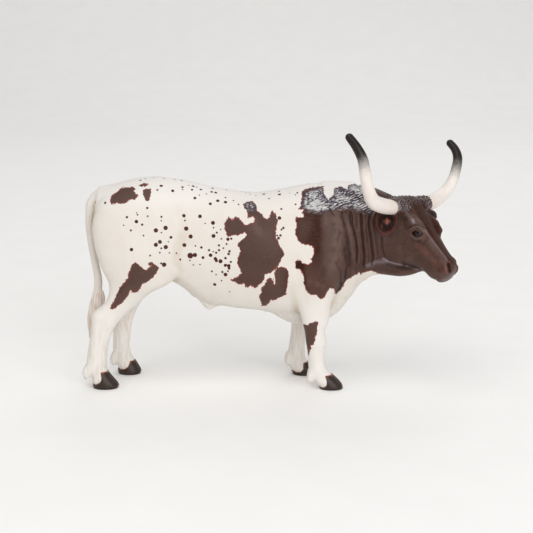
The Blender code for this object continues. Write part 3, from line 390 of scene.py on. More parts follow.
# Folds of the far side of the neck, which the picture doesn't show: half width, height, (x, z).
FAR_NECK_LINES = [
    (1.2, 0.4, [(38, 80), (40, 66), (40, 53)]),
    (1.2, 0.4, [(44, 78), (46, 66), (45, 55)]),
    (0.6, -0.4, [(35.5, 78), (37, 66), (37, 54)]),
    (0.6, -0.45, [(41.5, 77), (43, 66), (42.5, 54)]),
    (0.6, -0.4, [(47.5, 76), (49, 66), (48, 55)]),
]

# The folds of the near side of the neck, drawn on the picture: half width, height, points.
NECK_LINES = [
    (2.2, 0.45, [(338, 206), (339, 230), (337, 256), (333, 280)]),
    (1.1, 0.22, [(346, 214), (350, 236), (353, 256)]),
    (1.1, 0.22, [(357, 214), (360, 236), (361, 258)]),
    (0.36, -0.34, [(341.8, 212), (345, 226), (348.2, 238), (349.8, 252), (349, 266)]),
    (0.30, 0.20, [(344.0, 214), (347.2, 227), (350.2, 238), (351.8, 252)]),
    (0.34, -0.46, [(350.6, 212), (351.6, 223), (355.2, 236), (357.2, 250), (356.6, 263)]),
    (0.32, 0.32, [(353.2, 213), (354.2, 224), (357.6, 237), (359.4, 251), (358.8, 262)]),
    (0.26, -0.22, [(356.6, 216), (356.8, 227), (353.6, 236)]),
    (0.38, -0.56, [(361.2, 214), (361.6, 230), (363.4, 246), (364.2, 256), (363.6, 266)]),
    (0.32, 0.34, [(363.8, 214), (364.5, 230), (366.3, 244), (367.1, 262)]),
    (0.26, -0.20, [(366.6, 226), (367.8, 238), (366.0, 250)]),
    (0.40, -0.56, [(369.8, 215), (368.6, 224), (371.2, 242), (373.0, 258), (371.6, 264)]),
    (0.36, 0.38, [(374.4, 212), (371.2, 221), (374.0, 240), (375.8, 256)]),
    (0.36, -0.32, [(336, 262), (340.6, 272), (340, 284)]),
    (0.36, -0.32, [(345.6, 256), (346.8, 268), (344.4, 278)]),
    (0.32, -0.22, [(326, 226), (324.2, 234), (327.4, 239)]),
    (0.30, -0.20, [(331, 221), (334, 227), (333, 234)]),
    (0.32, -0.24, [(329, 208), (334, 216)]),
    (0.32, -0.20, [(336, 222), (340, 232), (338, 241)]),
    (0.30, -0.20, [(327, 268), (324, 276)]),
    (0.50, 0.34, [(366, 265), (374, 262), (383, 260)]),
]

# The head's near side, drawn on the picture and mirrored for its far side.
FACE_LINES = [
    (0.42, 0.26, [(383, 258.5), (388, 261.5), (393.3, 263.2), (407.8, 266.3), (417.9, 269.7), (425, 274)]),
    (0.50, -0.22, [(386, 264), (394, 266.2), (408, 269.2), (417, 273)]),
    (0.34, -0.32, [(381.6, 238), (382.2, 247), (384.8, 256)]),
    (0.40, 0.18, [(379, 240), (379.6, 254)]),
    (1.5, 0.30, [(404, 209), (409, 216), (413, 222)]),
    (0.25, 0.15, [(409.2, 229.8), (412.5, 227.4), (417, 226.7), (421, 228.2), (423.6, 232)]),
    (0.22, -0.18, [(410.4, 231.4), (413.2, 229.2), (417, 228.5), (420.5, 230.2)]),
    (0.22, -0.14, [(408, 228.2), (412, 225.6), (417, 224.9), (421.5, 226)]),
    (0.25, 0.08, [(411.4, 236.2), (413.6, 238.8), (417, 239.9), (421.6, 238.2)]),
    (0.22, -0.08, [(411, 238.8), (416, 241.6), (422, 240.2)]),
    (0.65, 0.24, [(423, 229), (428.5, 236.4), (435, 245.4), (440.4, 252.4), (446.4, 260.4)]),
    (0.80, -0.16, [(427, 228), (434.6, 239), (445, 253)]),
    (0.58, -1.05, [(448.2, 264.8), (449.0, 267.6), (449.3, 271)]),
    (0.36, 0.20, [(445.0, 264), (445.0, 268.5), (446.8, 273.4)]),
    (0.36, 0.20, [(445.6, 262.6), (449, 261.4), (452, 263.5)]),
    (0.36, 0.16, [(452.6, 265), (453.2, 269), (452, 273)]),
    (0.26, -0.20, [(456, 273), (450, 276.6), (442, 277.8), (435, 276)]),
    (1.6, -0.25, [(425, 246), (436, 258), (441, 268)]),
]

# An eye's opening, seen square from the head's side: its middle, half length, half height, slant.
EYE_OPENING = (9.7, 6.7, 2.55, 1.35, 43.0)
EYE_RADIUS = 2.2
# An eye's middle: down the face, off it and aside.
EYE_PLACE = (9.8, 7.0, 6.3)
# The lids' height, how far outside the opening their crest lies, their width, and the socket's depth.
LID_HEIGHT, LID_OUT, LID_WIDTH, SOCKET_DEPTH = 0.10, 0.28, 0.26, 1.3

# Where combed hair stands on the near side of the hump and on the poll, drawn on the picture.
HUMP_HAIR = [(302, 190), (316, 185), (336, 184), (350, 181), (364, 179), (376, 194), (384, 210),
             (372, 217), (352, 211), (338, 212), (322, 216), (304, 213), (298, 206)]
POLL_HAIR = [(386, 192), (432, 190), (433, 206), (428, 209), (421, 205.5), (413.5, 203), (414, 207),
             (411, 210.5), (404, 211), (399.5, 212.5), (397, 217), (391, 216), (386, 208)]
HUMP_MIDDLE = np.array([33.0, 0.0, 80.0])
# The hump's strands rise towards the head at this slope, in degrees.
STRAND_SLOPE = 24.0
STRAND_SPACING = 0.95
STRAND_HEIGHT = 0.20
CURL_SPACING = 1.25
CURL_HEIGHT = 0.17


def bells(flat, lines):
    """The height at flat points of lines that are each a bell across: exp(-(distance / width) ** 2)."""
    total = np.zeros(len(flat))
    for width, height, path in lines:
        path = np.array(path, float)
        near = np.all((flat > path.min(0) - 3 * width) & (flat < path.max(0) + 3 * width), axis=1)
        total[near] += height * np.exp(-along_path(flat[near], path) ** 2 / width**2)
    return total


def along_path(flat, path):
    """The distance of flat points from a broken line."""
    least = np.full(len(flat), 1e9)
    for start, end in zip(path[:-1], path[1:]):
        step = end - start
        t = np.clip((flat - start) @ step / (step @ step), 0, 1)
        least = np.minimum(least, ((flat - start - t[:, None] * step) ** 2).sum(1))
    return np.sqrt(least)


def signed_distance(flat, outline, most=4.0):
    """The distance of flat points from an outline, less than nothing inside it."""
    outline = np.asarray(outline, float)
    result = np.full(len(flat), most)
    near = np.all((flat > outline.min(0) - most) & (flat < outline.max(0) + most), axis=1)
    spot = flat[near]
    after = np.roll(outline, -1, axis=0)
    inside = np.zeros(len(spot), bool)
    for start, end in zip(outline, after):
        if start[1] != end[1]:
            crosses = (start[1] > spot[:, 1]) != (end[1] > spot[:, 1])
            where = start[0] + (spot[:, 1] - start[1]) / (end[1] - start[1]) * (end[0] - start[0])
            inside ^= crosses & (spot[:, 0] < where)
    distance = along_path(spot, np.concatenate([outline, outline[:1]]))
    result[near] = np.where(inside, -distance, distance)
    return np.clip(result, -most, most)


def soft_step(value, low, high):
    """0 below the low value, 1 above the high one, and smooth between them."""
    t = np.clip((value - low) / (high - low), 0, 1)
    return t * t * (3 - 2 * t)


def cloudy(points, size, seed):
    """Smooth noise from 0 to 1 whose lumps are about the given size across."""
    table = np.random.default_rng(seed).random((24, 24, 24))
    cell = points / size
    low = np.floor(cell).astype(int)
    t = cell - low
    t = t * t * (3 - 2 * t)
    total = np.zeros(len(points))
    for corner in np.ndindex(2, 2, 2):
        weight = np.prod(np.where(np.array(corner) == 1, t, 1 - t), axis=1)
        spot = (low + corner) % 24
        total += weight * table[spot[:, 0], spot[:, 1], spot[:, 2]]
    return total


def hump_hair(points):
    """Where combed hair stands on the hump, and the height of its strands.

    The height is a sine across the strands, bent by one noise and broken up along them by
    another. The far side has the near side's hair mirrored, and fainter.
    """
    seen = stencil(np.where(points[:, 1:2] > 2, points * (1, -1, 1) + (0, 4, 0), points))
    mask = soft_step(-signed_distance(seen, from_picture(HUMP_HAIR)), -0.3, 3.2)
    mask = mask * np.where(points[:, 1] > 5, 0.6, 1.0)
    slope = np.radians(STRAND_SLOPE + 32 * (cloudy(points, 9.0, 11) - 0.5))
    local = points - HUMP_MIDDLE
    across = -np.sin(slope) * local[:, 0] + np.cos(slope) * local[:, 2] + 0.35 * local[:, 1]
    along = np.cos(slope) * local[:, 0] + np.sin(slope) * local[:, 2]
    bend = 1.3 * (cloudy(points, 4.2, 5) - 0.5)
    wave = np.sin(2 * np.pi * (across + bend) / STRAND_SPACING)
    stretched = np.stack([along, across * 2.4, points[:, 1]], axis=1)
    broken = 0.30 + 0.70 * soft_step(cloudy(stretched, 3.2, 7), 0.35, 0.65)
    return mask, STRAND_HEIGHT * mask * wave * broken


def poll_hair(points):
    """Where curled hair stands between the horns, and its height.

    The height is a sine from side to side whose phase curls as it falls down the face, and a
    second, coarser one that parts the hair into locks.
    """
    local = points - POLL
    forward, left, up = local @ FORWARD, local @ LEFT, local @ UP
    fall = forward - 0.9 * up
    mask = soft_step(-signed_distance(stencil(points), from_picture(POLL_HAIR)), -0.3, 0.8)
    mask = mask * soft_step(forward, -9, -6)
    curl = left + 0.5 * np.sin(1.7 * fall + 0.8 * left) + 2.4 * (cloudy(points, 1.7, 3) - 0.5)
    wave = np.sin(2 * np.pi * curl / CURL_SPACING)
    locks = np.sin(3.8 * fall + 2.6 * left + 5 * cloudy(points, 2.2, 9))
    return mask, mask * CURL_HEIGHT * (wave + locks)


def near_side(points):
    """Points of the head brought to its near half by mirroring those of the far half."""
    aside = np.maximum((points - POLL) @ LEFT, 0)
    return points - 2 * aside[:, None] * LEFT


def eye_opening(points):
    """How far outside an eye's almond opening a point of the head's side lies, less inside.

    The opening's upper and lower edges are parabolas: height = tall * (1 - (length / half) ** 2).
    """
    local = points - FACE_START
    along, off = local @ DOWN_FACE - EYE_OPENING[0], local @ OFF_FACE - EYE_OPENING[1]
    slant = np.radians(EYE_OPENING[4])
    length = along * np.cos(slant) + off * np.sin(slant)
    height = off * np.cos(slant) - along * np.sin(slant)
    tall = np.where(height > 0, 1.12, 0.9) * EYE_OPENING[3]
    return np.abs(height) - tall * (1 - (length / EYE_OPENING[2]) ** 2)


def relief(points):
    """The height of all raised and sunk lines at points of the flesh."""
    x, y, z = points.T
    folded = np.where(points[:, 1:2] > 0, points * (1, -1, 1), points)
    total = bells(stencil(folded), picture_lines(BODY_LINES)) * soft_step(np.abs(y), 1, 4)
    far = y > 0
    total[far] += bells(points[far][:, [0, 2]], FAR_NECK_LINES)
    fold = (y < -1) & (x > 22) & (z > 40)
    total[fold] += bells(stencil(points[fold]), picture_lines(NECK_LINES))
    # The neck and shoulder are crumpled at about 1.5 mm, longer downwards than along.
    skin = (x > 24) & (x < 52) & (z > 50) & (z < 76)
    total[skin] += 0.20 * (cloudy(points[skin] * (1.0, 1.0, 0.55), 1.5, 21) - 0.5)
    top = (x > 8) & (z > 68)
    total[top] += hump_hair(points[top])[1]
    head = (x > HEAD_RELIEF_FROM) & ((points - POLL) @ FORWARD > -HEAD_RELIEF_BEHIND)
    on_head = points[head]
    local = on_head - FACE_START
    raised = bells(stencil(near_side(on_head)), picture_lines(FACE_LINES))
    raised *= soft_step(np.abs(local @ LEFT), 1.2, 2.6)
    opening = eye_opening(on_head)
    close = (np.abs(local @ LEFT) > 3) & (np.abs(local @ DOWN_FACE - EYE_OPENING[0]) < 5) & (opening < 3)
    lids = LID_HEIGHT * np.exp(-((opening - LID_OUT) / LID_WIDTH) ** 2)
    socket = SOCKET_DEPTH * (1 - soft_step(opening, -0.4, 0.05))
    raised[close] += (lids - socket)[close]
    total[head] += raised + poll_hair(on_head)[1]
    return total


def picture_lines(lines):
    """The same lines with their points brought from the picture to the figure's middle plane."""
    return [(width, height, from_picture(path)) for width, height, path in lines]


# The skin.


def smooth_least(one, other, blend):
    """The lesser of two distances, with a fillet of about the blend's size where they meet."""
    close = np.maximum(blend - np.abs(one - other), 0) / blend
    return np.minimum(one, other) - close**2 * blend / 4


def flesh(points, forms):
    """How far points lie outside the flesh: the least of the forms' distances, with fillets."""
    distance = np.full(len(points), 30.0)
    for form in forms:
        near = form.near(points)
        distance[near] = smooth_least(distance[near], form.outside(points[near]), form.blend)
    return distance


def settled(points, forms, rounds=4, most=0.8):
    """Points moved along the flesh's slope until they lie on its surface, relief and all."""
    step = 0.05
    for _ in range(rounds):
        plain = flesh(points, forms)
        slope = np.stack([flesh(points + step * axis, forms) - plain for axis in (X, Y, Z)], axis=1) / step
        steep = np.maximum(np.sqrt((slope**2).sum(1)), 0.3)
        distance = plain - relief(points)
        points = points - (np.clip(distance / steep, -most, most) / steep)[:, None] * slope
    return points


def coordinates(mesh):
    """The places of the mesh's points, in millimetres."""
    flat = np.empty(len(mesh.vertices) * 3)
    mesh.vertices.foreach_get("co", flat)
    return flat.reshape(-1, 3) / MM


def place(mesh, points):
    """Moves the mesh's points to these places, in millimetres."""
    mesh.vertices.foreach_set("co", (points * MM).ravel())
    mesh.update()


def refine(mesh, wanted):
    """Each face whose corners are all wanted is cut in four."""
    work = bmesh.new()
    work.from_mesh(mesh)
    work.verts.ensure_lookup_table()
    edges = [edge for edge in work.edges if wanted[edge.verts[0].index] and wanted[edge.verts[1].index]]
    bmesh.ops.subdivide_edges(work, edges=edges, cuts=1, use_grid_fill=True, use_single_edge=True)
    work.to_mesh(mesh)
    work.free()


def fine_places(points):
    """The hump, neck and head, where the moulding has its finest relief."""
    x, _, z = points.T
    return (x > 27) & (z > 45.5) | (x > 12) & (z > 73)


def finest_places(points):
    """The eyes, the nostrils, the hair on the poll and hump, and the folds of the neck."""
    local = points - FACE_START
    down, off, aside = local @ DOWN_FACE, local @ OFF_FACE, np.abs(local @ LEFT)
    eye = (np.hypot(down - EYE_PLACE[0], off - EYE_PLACE[1]) < 4.2) & (aside > 3.5)
    nostril = (down > 24.4) & (off > 1.8) & (aside > 1.0)
    above = points - POLL
    poll = (above @ UP > -4) & (above @ FORWARD > -5) & (np.abs(above @ LEFT) < 15)
    x, y, z = points.T
    hump = (x > 14) & (x < 51) & (z > 74) & (y < 4)
    folds = (x > 34) & (x < 53) & (z > 50) & (y < -3) & (above @ FORWARD < 2)
    return eye | nostril | poll | hump | folds


def tucked_feet(points):
    """The skin under each coronet drawn in to 0.86 of its width, so that the hoof closes over it."""
    points = points.copy()
    x, y, z = points.T
    for rows, side, coronet in FEET.values():
        leg = leg_form(side, rows)
        line = np.array(coronet)
        foot = (x > line[0, 0] - 4) & (x < line[-1, 0] + 8) & (y * side > 2)
        foot &= z < np.interp(x, line[:, 0], line[:, 1])
        spot = points[foot]
        height = spot[:, 2]
        middle = np.stack([leg.at(leg.middle, height), leg.at(leg.shift, height), height], axis=1)
        spot = middle + 0.86 * (spot - middle)
        spot[:, 2] = np.maximum(spot[:, 2], SOLE_LEVEL + 0.5)
        points[foot] = spot
    return points


def make_skin(grid):
    """The flesh of the whole figure as one closed surface.

    The forms' surfaces are joined by a voxel remesh, and its points are settled on the blend of
    the forms, with the relief added. Where the relief is fine, faces are cut in four and the
    points settled again.
    """
    forms = trunk_forms() + head_forms() + limb_forms() + [tail_form()]
    points, faces, used = [], [], 0
    for form in forms:
        rings, first_end, last_end = form.rings()
        count, around, _ = rings.shape
        points += [rings.reshape(-1, 3), first_end[None], last_end[None]]
        faces.append(used + tube_faces(count, around))
        used += count * around + 2
    skin = add_piece("coat", np.concatenate(points), np.concatenate(faces), placed=False)
    modifier = skin.modifiers.new("Join", "REMESH")
    modifier.mode = "VOXEL"
    modifier.voxel_size = grid * MM
    joined = bpy.data.meshes.new_from_object(skin.evaluated_get(bpy.context.evaluated_depsgraph_get()))
    skin.modifiers.clear()
    skin.data = joined
    joined.name = "coat"
    place(joined, settled(coordinates(joined), forms))
    for choose in (fine_places, finest_places):
        refine(joined, choose(coordinates(joined)))
        place(joined, settled(coordinates(joined), forms, rounds=2, most=0.3))
    place(joined, tucked_feet(coordinates(joined)))
    return skin


# Meshes.


def tube_faces(count, around):
    """Corner numbers of the faces of closed rings, with a fan to an end point at each end.

    Every face is given four corners; a fan's face has its last corner twice.
    """
    ring, k = np.meshgrid(np.arange(count - 1), np.arange(around), indexing="ij")
    a, b = ring * around + k, ring * around + (k + 1) % around
    walls = np.stack([a, b, b + around, a + around], axis=-1).reshape(-1, 4)
    k = np.arange(around)
    start, last = count * around, (count - 1) * around
    first_fan = np.stack([np.full(around, start), (k + 1) % around, k, k], axis=-1)
    last_fan = np.stack([np.full(around, start + 1), last + k, last + (k + 1) % around,
                         last + (k + 1) % around], axis=-1)
    return np.concatenate([walls, first_fan, last_fan])


def add_piece(name, points, faces, placed=True):
    """An object in the scene from points in millimetres, its faces turned outwards."""
    mesh = bpy.data.meshes.new(name)
    where = (np.asarray(points) - (MIDDLE if placed else 0)) * MM
    corners = [tuple(face[:3]) if face[2] == face[3] else tuple(face) for face in faces.tolist()]
    mesh.from_pydata(where.tolist(), [], corners)
    work = bmesh.new()
    work.from_mesh(mesh)
    bmesh.ops.recalc_face_normals(work, faces=work.faces)
    work.to_mesh(mesh)
    work.free()
    thing = bpy.data.objects.new(name, mesh)
    bpy.context.scene.collection.objects.link(thing)
    return thing


def add_tube(name, rings, first_end, last_end, values):
    """A closed piece from rings of points, which keeps the given values at its points."""
    count, around, _ = rings.shape
    points = np.concatenate([rings.reshape(-1, 3), [first_end, last_end]])
    thing = add_piece(name, points, tube_faces(count, around))
    for key, column in values.items():
        column = np.concatenate([column.reshape(-1), [column[0].mean(), column[-1].mean()]])
        write_values(thing.data, key, column)
    thing.data.shade_smooth()
    return thing


def write_values(mesh, key, column, domain="POINT"):
    """One number, or one place, for each point or face of the mesh."""
    column = np.asarray(column, float)
    kind, field = ("FLOAT_VECTOR", "vector") if column.ndim > 1 else ("FLOAT", "value")
    mesh.attributes.new(key, kind, domain).data.foreach_set(field, column.astype(np.float32).ravel())


# The markings.

# Dark patches of the near side, drawn on the picture.
NEAR_PATCHES = [
    [(109.3, 201.6), (111, 195.8), (114.3, 193.4), (118.2, 191), (120, 188.5), (124, 187.1), (128.4, 187.6),
     (131.8, 186.4), (135.6, 188.5), (133.7, 191), (138, 195.3), (136.6, 198.2), (133.2, 200), (128.8, 200.3),
     (125.5, 203.7), (122.6, 203), (119.7, 204), (117.4, 202.9), (112.9, 204.8), (111, 203.5)],
    [(139.2, 184.7), (142.4, 183.2), (146.3, 182.7), (148.7, 183.9), (146.3, 185.8), (142.4, 187.1),
     (140, 186.1)],
    [(141.7, 192.9), (143.4, 189.5), (148.2, 188.2), (151.1, 189), (150.8, 194.3), (150.1, 199.2),
     (147.7, 201.3), (144.3, 199.7), (144, 195.3)],
    [(136.1, 262.5), (139, 264.9), (142.9, 268), (145.3, 270.6), (147.7, 268.3), (151.1, 267.4),
     (147.7, 263.5), (150.1, 261.1), (153, 263), (155.4, 264.9), (158.3, 266.4), (159.1, 268.8),
     (156.9, 272.7), (154, 276.5), (151.1, 279.5), (147.2, 282.4), (144.3, 283.1), (141.9, 285.3),
     (140.5, 289.1), (137.1, 292), (134.7, 293.2), (131.8, 291.5), (129.8, 290.6), (128.8, 294.9),
     (125.9, 298.3), (123, 302.7), (120.1, 303.8), (116.8, 307.3), (113.9, 308), (111.4, 310.4),
     (110, 309.4), (111, 306), (113.9, 299.8), (116.3, 294.9), (118.7, 289.6), (121.1, 285.3),
     (124.5, 282.4), (128.4, 277.5), (127.4, 273.6), (129.8, 270.7), (130.3, 266.9), (132.7, 263.5)],
    [(243.3, 204), (245.8, 202.1), (249.6, 200.9), (254, 202.1), (256.9, 205), (257.1, 208.8), (257.4, 211.3),
     (260.3, 212.5), (262.7, 215.1), (263.9, 217.6), (267, 219), (269.5, 217.6), (270.1, 213.2),
     (272.4, 210.8), (275.3, 212.7), (276.7, 216.6), (278.2, 221.4), (276.7, 226.3), (276, 232.1),
     (275.6, 236.9), (278.2, 240.8), (279.6, 246.1), (283, 250), (284.4, 254.8), (281.5, 259.1),
     (279.6, 263.5), (276.7, 266.9), (273.8, 270.3), (269.5, 273.6), (267.5, 274.4), (266.1, 273.5),
     (264.6, 276.1), (264.1, 280.9), (261.7, 282.8), (257.4, 286.7), (254.3, 288.3), (251.6, 286),
     (249.6, 285.7), (247.7, 287.7), (246.1, 287.2), (243.8, 285.3), (244.3, 281.9), (241.9, 284.3),
     (240.2, 284.8), (237.5, 284.3), (235.6, 281.9), (230.3, 280.4), (229.8, 279), (232.2, 278), (235.6, 278),
     (238, 276.1), (241.4, 273.2), (240, 269.3), (237.5, 264.9), (237.1, 261.1), (238, 256.2), (240.2, 253.8),
     (240, 249.5), (237.3, 245.1), (239, 242.2), (241.4, 239.8), (246.2, 236.9), (246.1, 233.5),
     (243.8, 232.5), (240, 234.2), (238, 236.1), (235.6, 235.4), (231.7, 235.2), (229.8, 237.4),
     (227.4, 236.4), (225.9, 232.5), (224.3, 228.2), (225, 222.4), (227.4, 218.5), (229.5, 216.1),
     (230.8, 218), (232.2, 221.4), (233.7, 218), (237.1, 216.6), (239.5, 218), (240.4, 220.5), (243.3, 221.9),
     (244.3, 224.8), (246.7, 225.3), (249.1, 223.2), (253.5, 222.4), (255.4, 220.5), (255, 218),
     (252.5, 216.8), (250.1, 217.6), (248.2, 218.5), (247.5, 216.6), (248.2, 213.7), (246.7, 210.8),
     (244.3, 207.9)],
    [(275.3, 270.3), (277.7, 268), (281.5, 266.9), (285.4, 267.4), (287.8, 270.3), (288.8, 274.6),
     (288.5, 279), (287.8, 283.3), (287.4, 288.6), (285.9, 291.5), (286.7, 294.4), (284.9, 296.4),
     (283, 294.9), (281.1, 297.3), (278.2, 298.3), (275.3, 299.8), (272.8, 301.2), (271.9, 298.6),
     (269.9, 300.7), (269, 303.6), (266.1, 305.8), (260.8, 306.3), (261.7, 304.1), (259.8, 300.2),
     (259.1, 295.4), (261.2, 292.5), (260.8, 288.6), (263.2, 286.2), (265.6, 283.3), (267, 279.5),
     (269.5, 277), (271.4, 278), (272.4, 280.9), (274.8, 284.3), (275.7, 282.4), (274.6, 277.5),
     (274.3, 273.6)],
    [(302, 192), (303.6, 190), (307.2, 188.4), (310.3, 187.2), (316, 187.2), (319.6, 186.1), (323.7, 186.2),
     (322.7, 187.9), (324, 190.5), (323.7, 194.1), (325.8, 197.2), (328.4, 199.6), (330.5, 197.7),
     (332.5, 196.2), (334.1, 192.6), (333.6, 188.9), (336.7, 187.2), (341.3, 186.6), (344.9, 188.4),
     (347.8, 188.9), (348.5, 185.3), (351.6, 184.1), (354.7, 183.5), (357.3, 185.1), (359.9, 185.1),
     (366, 178), (374, 150), (520, 120), (520, 330), (420, 300), (389.3, 276.8), (383.1, 275.2),
     (377.5, 273.1), (372.8, 271.1), (367.6, 271.1), (364.5, 272.6), (360.4, 274.7), (358.9, 272.6),
     (357.3, 274.2), (353.2, 275.7), (350.1, 278.3), (346.5, 280.4), (343.9, 284.5), (341.8, 289.2),
     (339.8, 290.7), (336.7, 293.8), (334.6, 293.8), (333.8, 291.7), (335.3, 289.7), (333.6, 288.8),
     (329.4, 288.4), (327.9, 290.7), (326.3, 294.3), (323.7, 297.9), (321.2, 299.8), (318.6, 297.9),
     (316.5, 294.8), (314.4, 294.8), (311.9, 296.1), (309.8, 294.8), (306.7, 291.2), (305.1, 286.6),
     (303.4, 282.4), (303.6, 275.7), (301.5, 271.6), (300, 268.5), (297.9, 269.8), (295.3, 268), (295, 262.8),
     (296.9, 259), (300.5, 260.2), (302.6, 262.8), (305.7, 264), (309.8, 264.4), (311.7, 261.8),
     (310.3, 259.2), (312.1, 257.6), (314.1, 254.5), (313.9, 250.4), (312.4, 246.3), (308.8, 244.7),
     (305.7, 245.6), (301.5, 243.7), (298.4, 241.1), (296.4, 237), (294.6, 232.3), (296.7, 227.7),
     (296.4, 222.5), (294.8, 218.4), (295, 215.1), (297.9, 217.4), (301.5, 217.7), (304.1, 216.3),
     (302, 213.2), (303.6, 209.9), (298.4, 209.1), (301, 205), (301.2, 200.3), (302, 195.7)],
]

# The dark wedge on the near foreleg's rear half.
LEG_PATCH = [(301.8, 324.8), (302.8, 324.1), (305, 323.9), (307.9, 324.8), (310.1, 322.8), (311.9, 323.4),
             (313.8, 321.5), (316.3, 320.8), (317.8, 320.1), (318.9, 321.9), (317.9, 324.5), (317.1, 327.8),
             (317.4, 331.8), (315.6, 335.8), (314.3, 338), (315, 339.9), (314, 341.7), (315.2, 344.3),
             (313, 344.8), (310.5, 344.6), (311.3, 347.9), (309.7, 350.5), (309, 354.5), (307.9, 356),
             (305, 352), (302, 338)]

# Dots of the near side, drawn on the picture: across, down and radius.
NEAR_DOTS = [
    (105.2, 202.8, 1.1), (106.4, 184.3, 1.6), (140.5, 180.3, 1.2), (145.2, 178.9, 0.8), (153.5, 177.4, 0.8),
    (157.4, 176.6, 0.8), (163.9, 178.4, 1), (161.2, 185.8, 1.5), (157.4, 190, 0.9), (172.7, 190.8, 1.5),
    (175, 179.6, 0.9), (181.6, 180.6, 1.2), (182.5, 187.1, 1.1), (182.5, 189.5, 0.6), (188.8, 185.4, 0.6),
    (193.2, 186.1, 1.4), (192, 189.7, 1.1), (196.7, 187.1, 0.7), (200.9, 189.5, 1.2), (199.3, 195, 0.6),
    (206.5, 193.9, 0.6), (194.9, 198, 1.3), (212.5, 188.3, 1.4), (211.7, 191.9, 1.3), (215.8, 192.6, 1.4),
    (210.3, 203.8, 1.4), (147.3, 208, 1), (136.6, 212.9, 0.5), (137.6, 214.7, 0.7), (126.9, 217.2, 1),
    (147.7, 216.2, 0.7), (136.4, 221.6, 1.6), (142.2, 224.6, 1), (123.7, 225.3, 0.6), (130.8, 230.4, 0.8),
    (143.5, 235.6, 0.7), (161.4, 216.8, 0.9), (161.2, 220.7, 0.6), (165.6, 227.9, 2), (155.9, 230.4, 2),
    (161.4, 232.6, 0.6), (170.9, 237.4, 1.3), (160, 241.9, 1.8), (155.9, 244.8, 1.9), (168.3, 241.7, 0.5),
    (161.3, 248.3, 0.8), (165.8, 247.1, 2), (131.5, 249.6, 1.6), (159.8, 252.7, 0.7), (169.4, 252.9, 0.6),
    (176.5, 253.2, 0.7), (150.1, 255.6, 0.8), (164.1, 264.7, 2.1), (161.2, 263.3, 0.9), (180.3, 259.5, 0.9),
    (183.9, 215.7, 1.6), (184.9, 220.5, 0.7), (186.2, 228.6, 2), (190.7, 236.5, 1.9), (184.4, 245.1, 1.8),
    (195.4, 245.9, 0.6), (201.4, 247.5, 1.1), (190.3, 255.6, 2.7), (194.9, 255, 2), (203, 257.6, 1.3),
    (209, 250.2, 1), (213.2, 251.6, 0.6), (210.6, 255.2, 1.7), (189.9, 260.4, 0.6), (193.4, 264.9, 0.6),
    (200, 264.5, 0.6), (211.9, 271.4, 0.8), (200, 216.3, 1.7), (205.2, 223.4, 0.5), (213, 222.9, 1.8),
    (213.5, 227.7, 0.7), (213.5, 235.9, 1.8), (216.8, 232.6, 0.9), (220.6, 229.4, 0.6), (221.4, 238.8, 0.7),
    (231.3, 238.7, 1), (227.9, 239.3, 1.5), (219, 245.3, 1), (226.6, 244, 0.8), (223.3, 248.1, 0.7),
    (219, 250.2, 1), (216.2, 252.7, 1), (229.5, 251.3, 1.1), (228.6, 254, 1.1), (215.3, 258.7, 1.6),
    (216.3, 260.6, 1.5), (220.4, 261.2, 1.9), (225.5, 258.2, 1.1), (230.8, 262, 0.9), (225.5, 265.4, 1.6),
    (228.8, 265.9, 1.7), (229.1, 268.3, 1.3), (222.3, 272, 1), (225.5, 274.6, 1.8), (216.1, 274.6, 0.6),
    (227.9, 271.2, 0.7), (214.7, 284.5, 1.5), (221.6, 280.6, 0.6), (229.5, 291.7, 0.6), (217.8, 200.8, 1.5),
    (225.5, 202.1, 1.5), (225.5, 197.5, 0.8), (238.5, 204.4, 0.7), (233.5, 200.6, 0.6), (226.4, 189.8, 1),
    (241.6, 191.6, 0.8), (246, 192.6, 0.7), (249.6, 192.2, 0.8), (250.1, 194.6, 0.6), (255.7, 195.5, 0.6),
    (263.8, 194.1, 1.6), (269, 198.5, 0.8), (279.1, 191.4, 1.2), (279.4, 194.4, 1.5), (281.4, 208.9, 0.9),
    (279.4, 218, 1.7), (283.3, 227.9, 1.1), (281.5, 229.6, 0.9), (277.2, 235.4, 0.8), (280.4, 235.4, 1.1),
    (278.5, 238.1, 1.3), (297.3, 192.8, 0.9), (295.4, 194.8, 0.6), (295.6, 204.3, 0.8), (289.6, 193.2, 0.4),
    (308.8, 183.5, 1.2),
]
# One point of the picture is this wide on the figure, in millimetres.
POINT_MM = 0.41

# Painted highlights: lines of paler paint on the face where light catches it, drawn on the
# picture: half width, strength and points.
FACE_HIGHLIGHTS = [
    (0.8, 0.15, [(405, 210), (409, 216), (413, 222)]),
    (0.45, 0.75, [(412.6, 219.6), (413.7, 222.4)]),
    (0.32, 0.50, [(383, 258.5), (388, 261.5), (393.3, 263.2), (407.8, 266.3), (417.9, 269.7)]),
    (0.9, 0.30, [(368, 266), (376, 262.4), (386, 261.5)]),
    (0.34, 0.35, [(425, 230), (433, 241), (441, 252), (447, 260)]),
    (0.8, 0.30, [(457.5, 265), (455, 272), (449, 278), (443, 280.5)]),
    (0.24, 0.20, [(409.2, 229.8), (412.5, 227.4), (417, 226.7), (421, 228.2), (423.6, 232)]),
    (0.24, 0.16, [(413.6, 238.8), (417, 239.9), (421.6, 238.2)]),
    (0.8, 0.30, [(340, 290), (347, 277), (353, 268)]),
]
# A dry-brushed spot that is partly a painted highlight on top of the flank's patch, and the
# shoulder's warmer brown, outlined on the picture.
FLANK_HIGHLIGHT = [(243, 202), (249.6, 200), (256.5, 203), (257.5, 210), (253, 212.5), (246.5, 211.5)]
WARM_SHOULDER = [(284, 212), (322, 211), (328, 232), (325, 262), (332, 288), (320, 306), (292, 304),
                 (284, 250)]
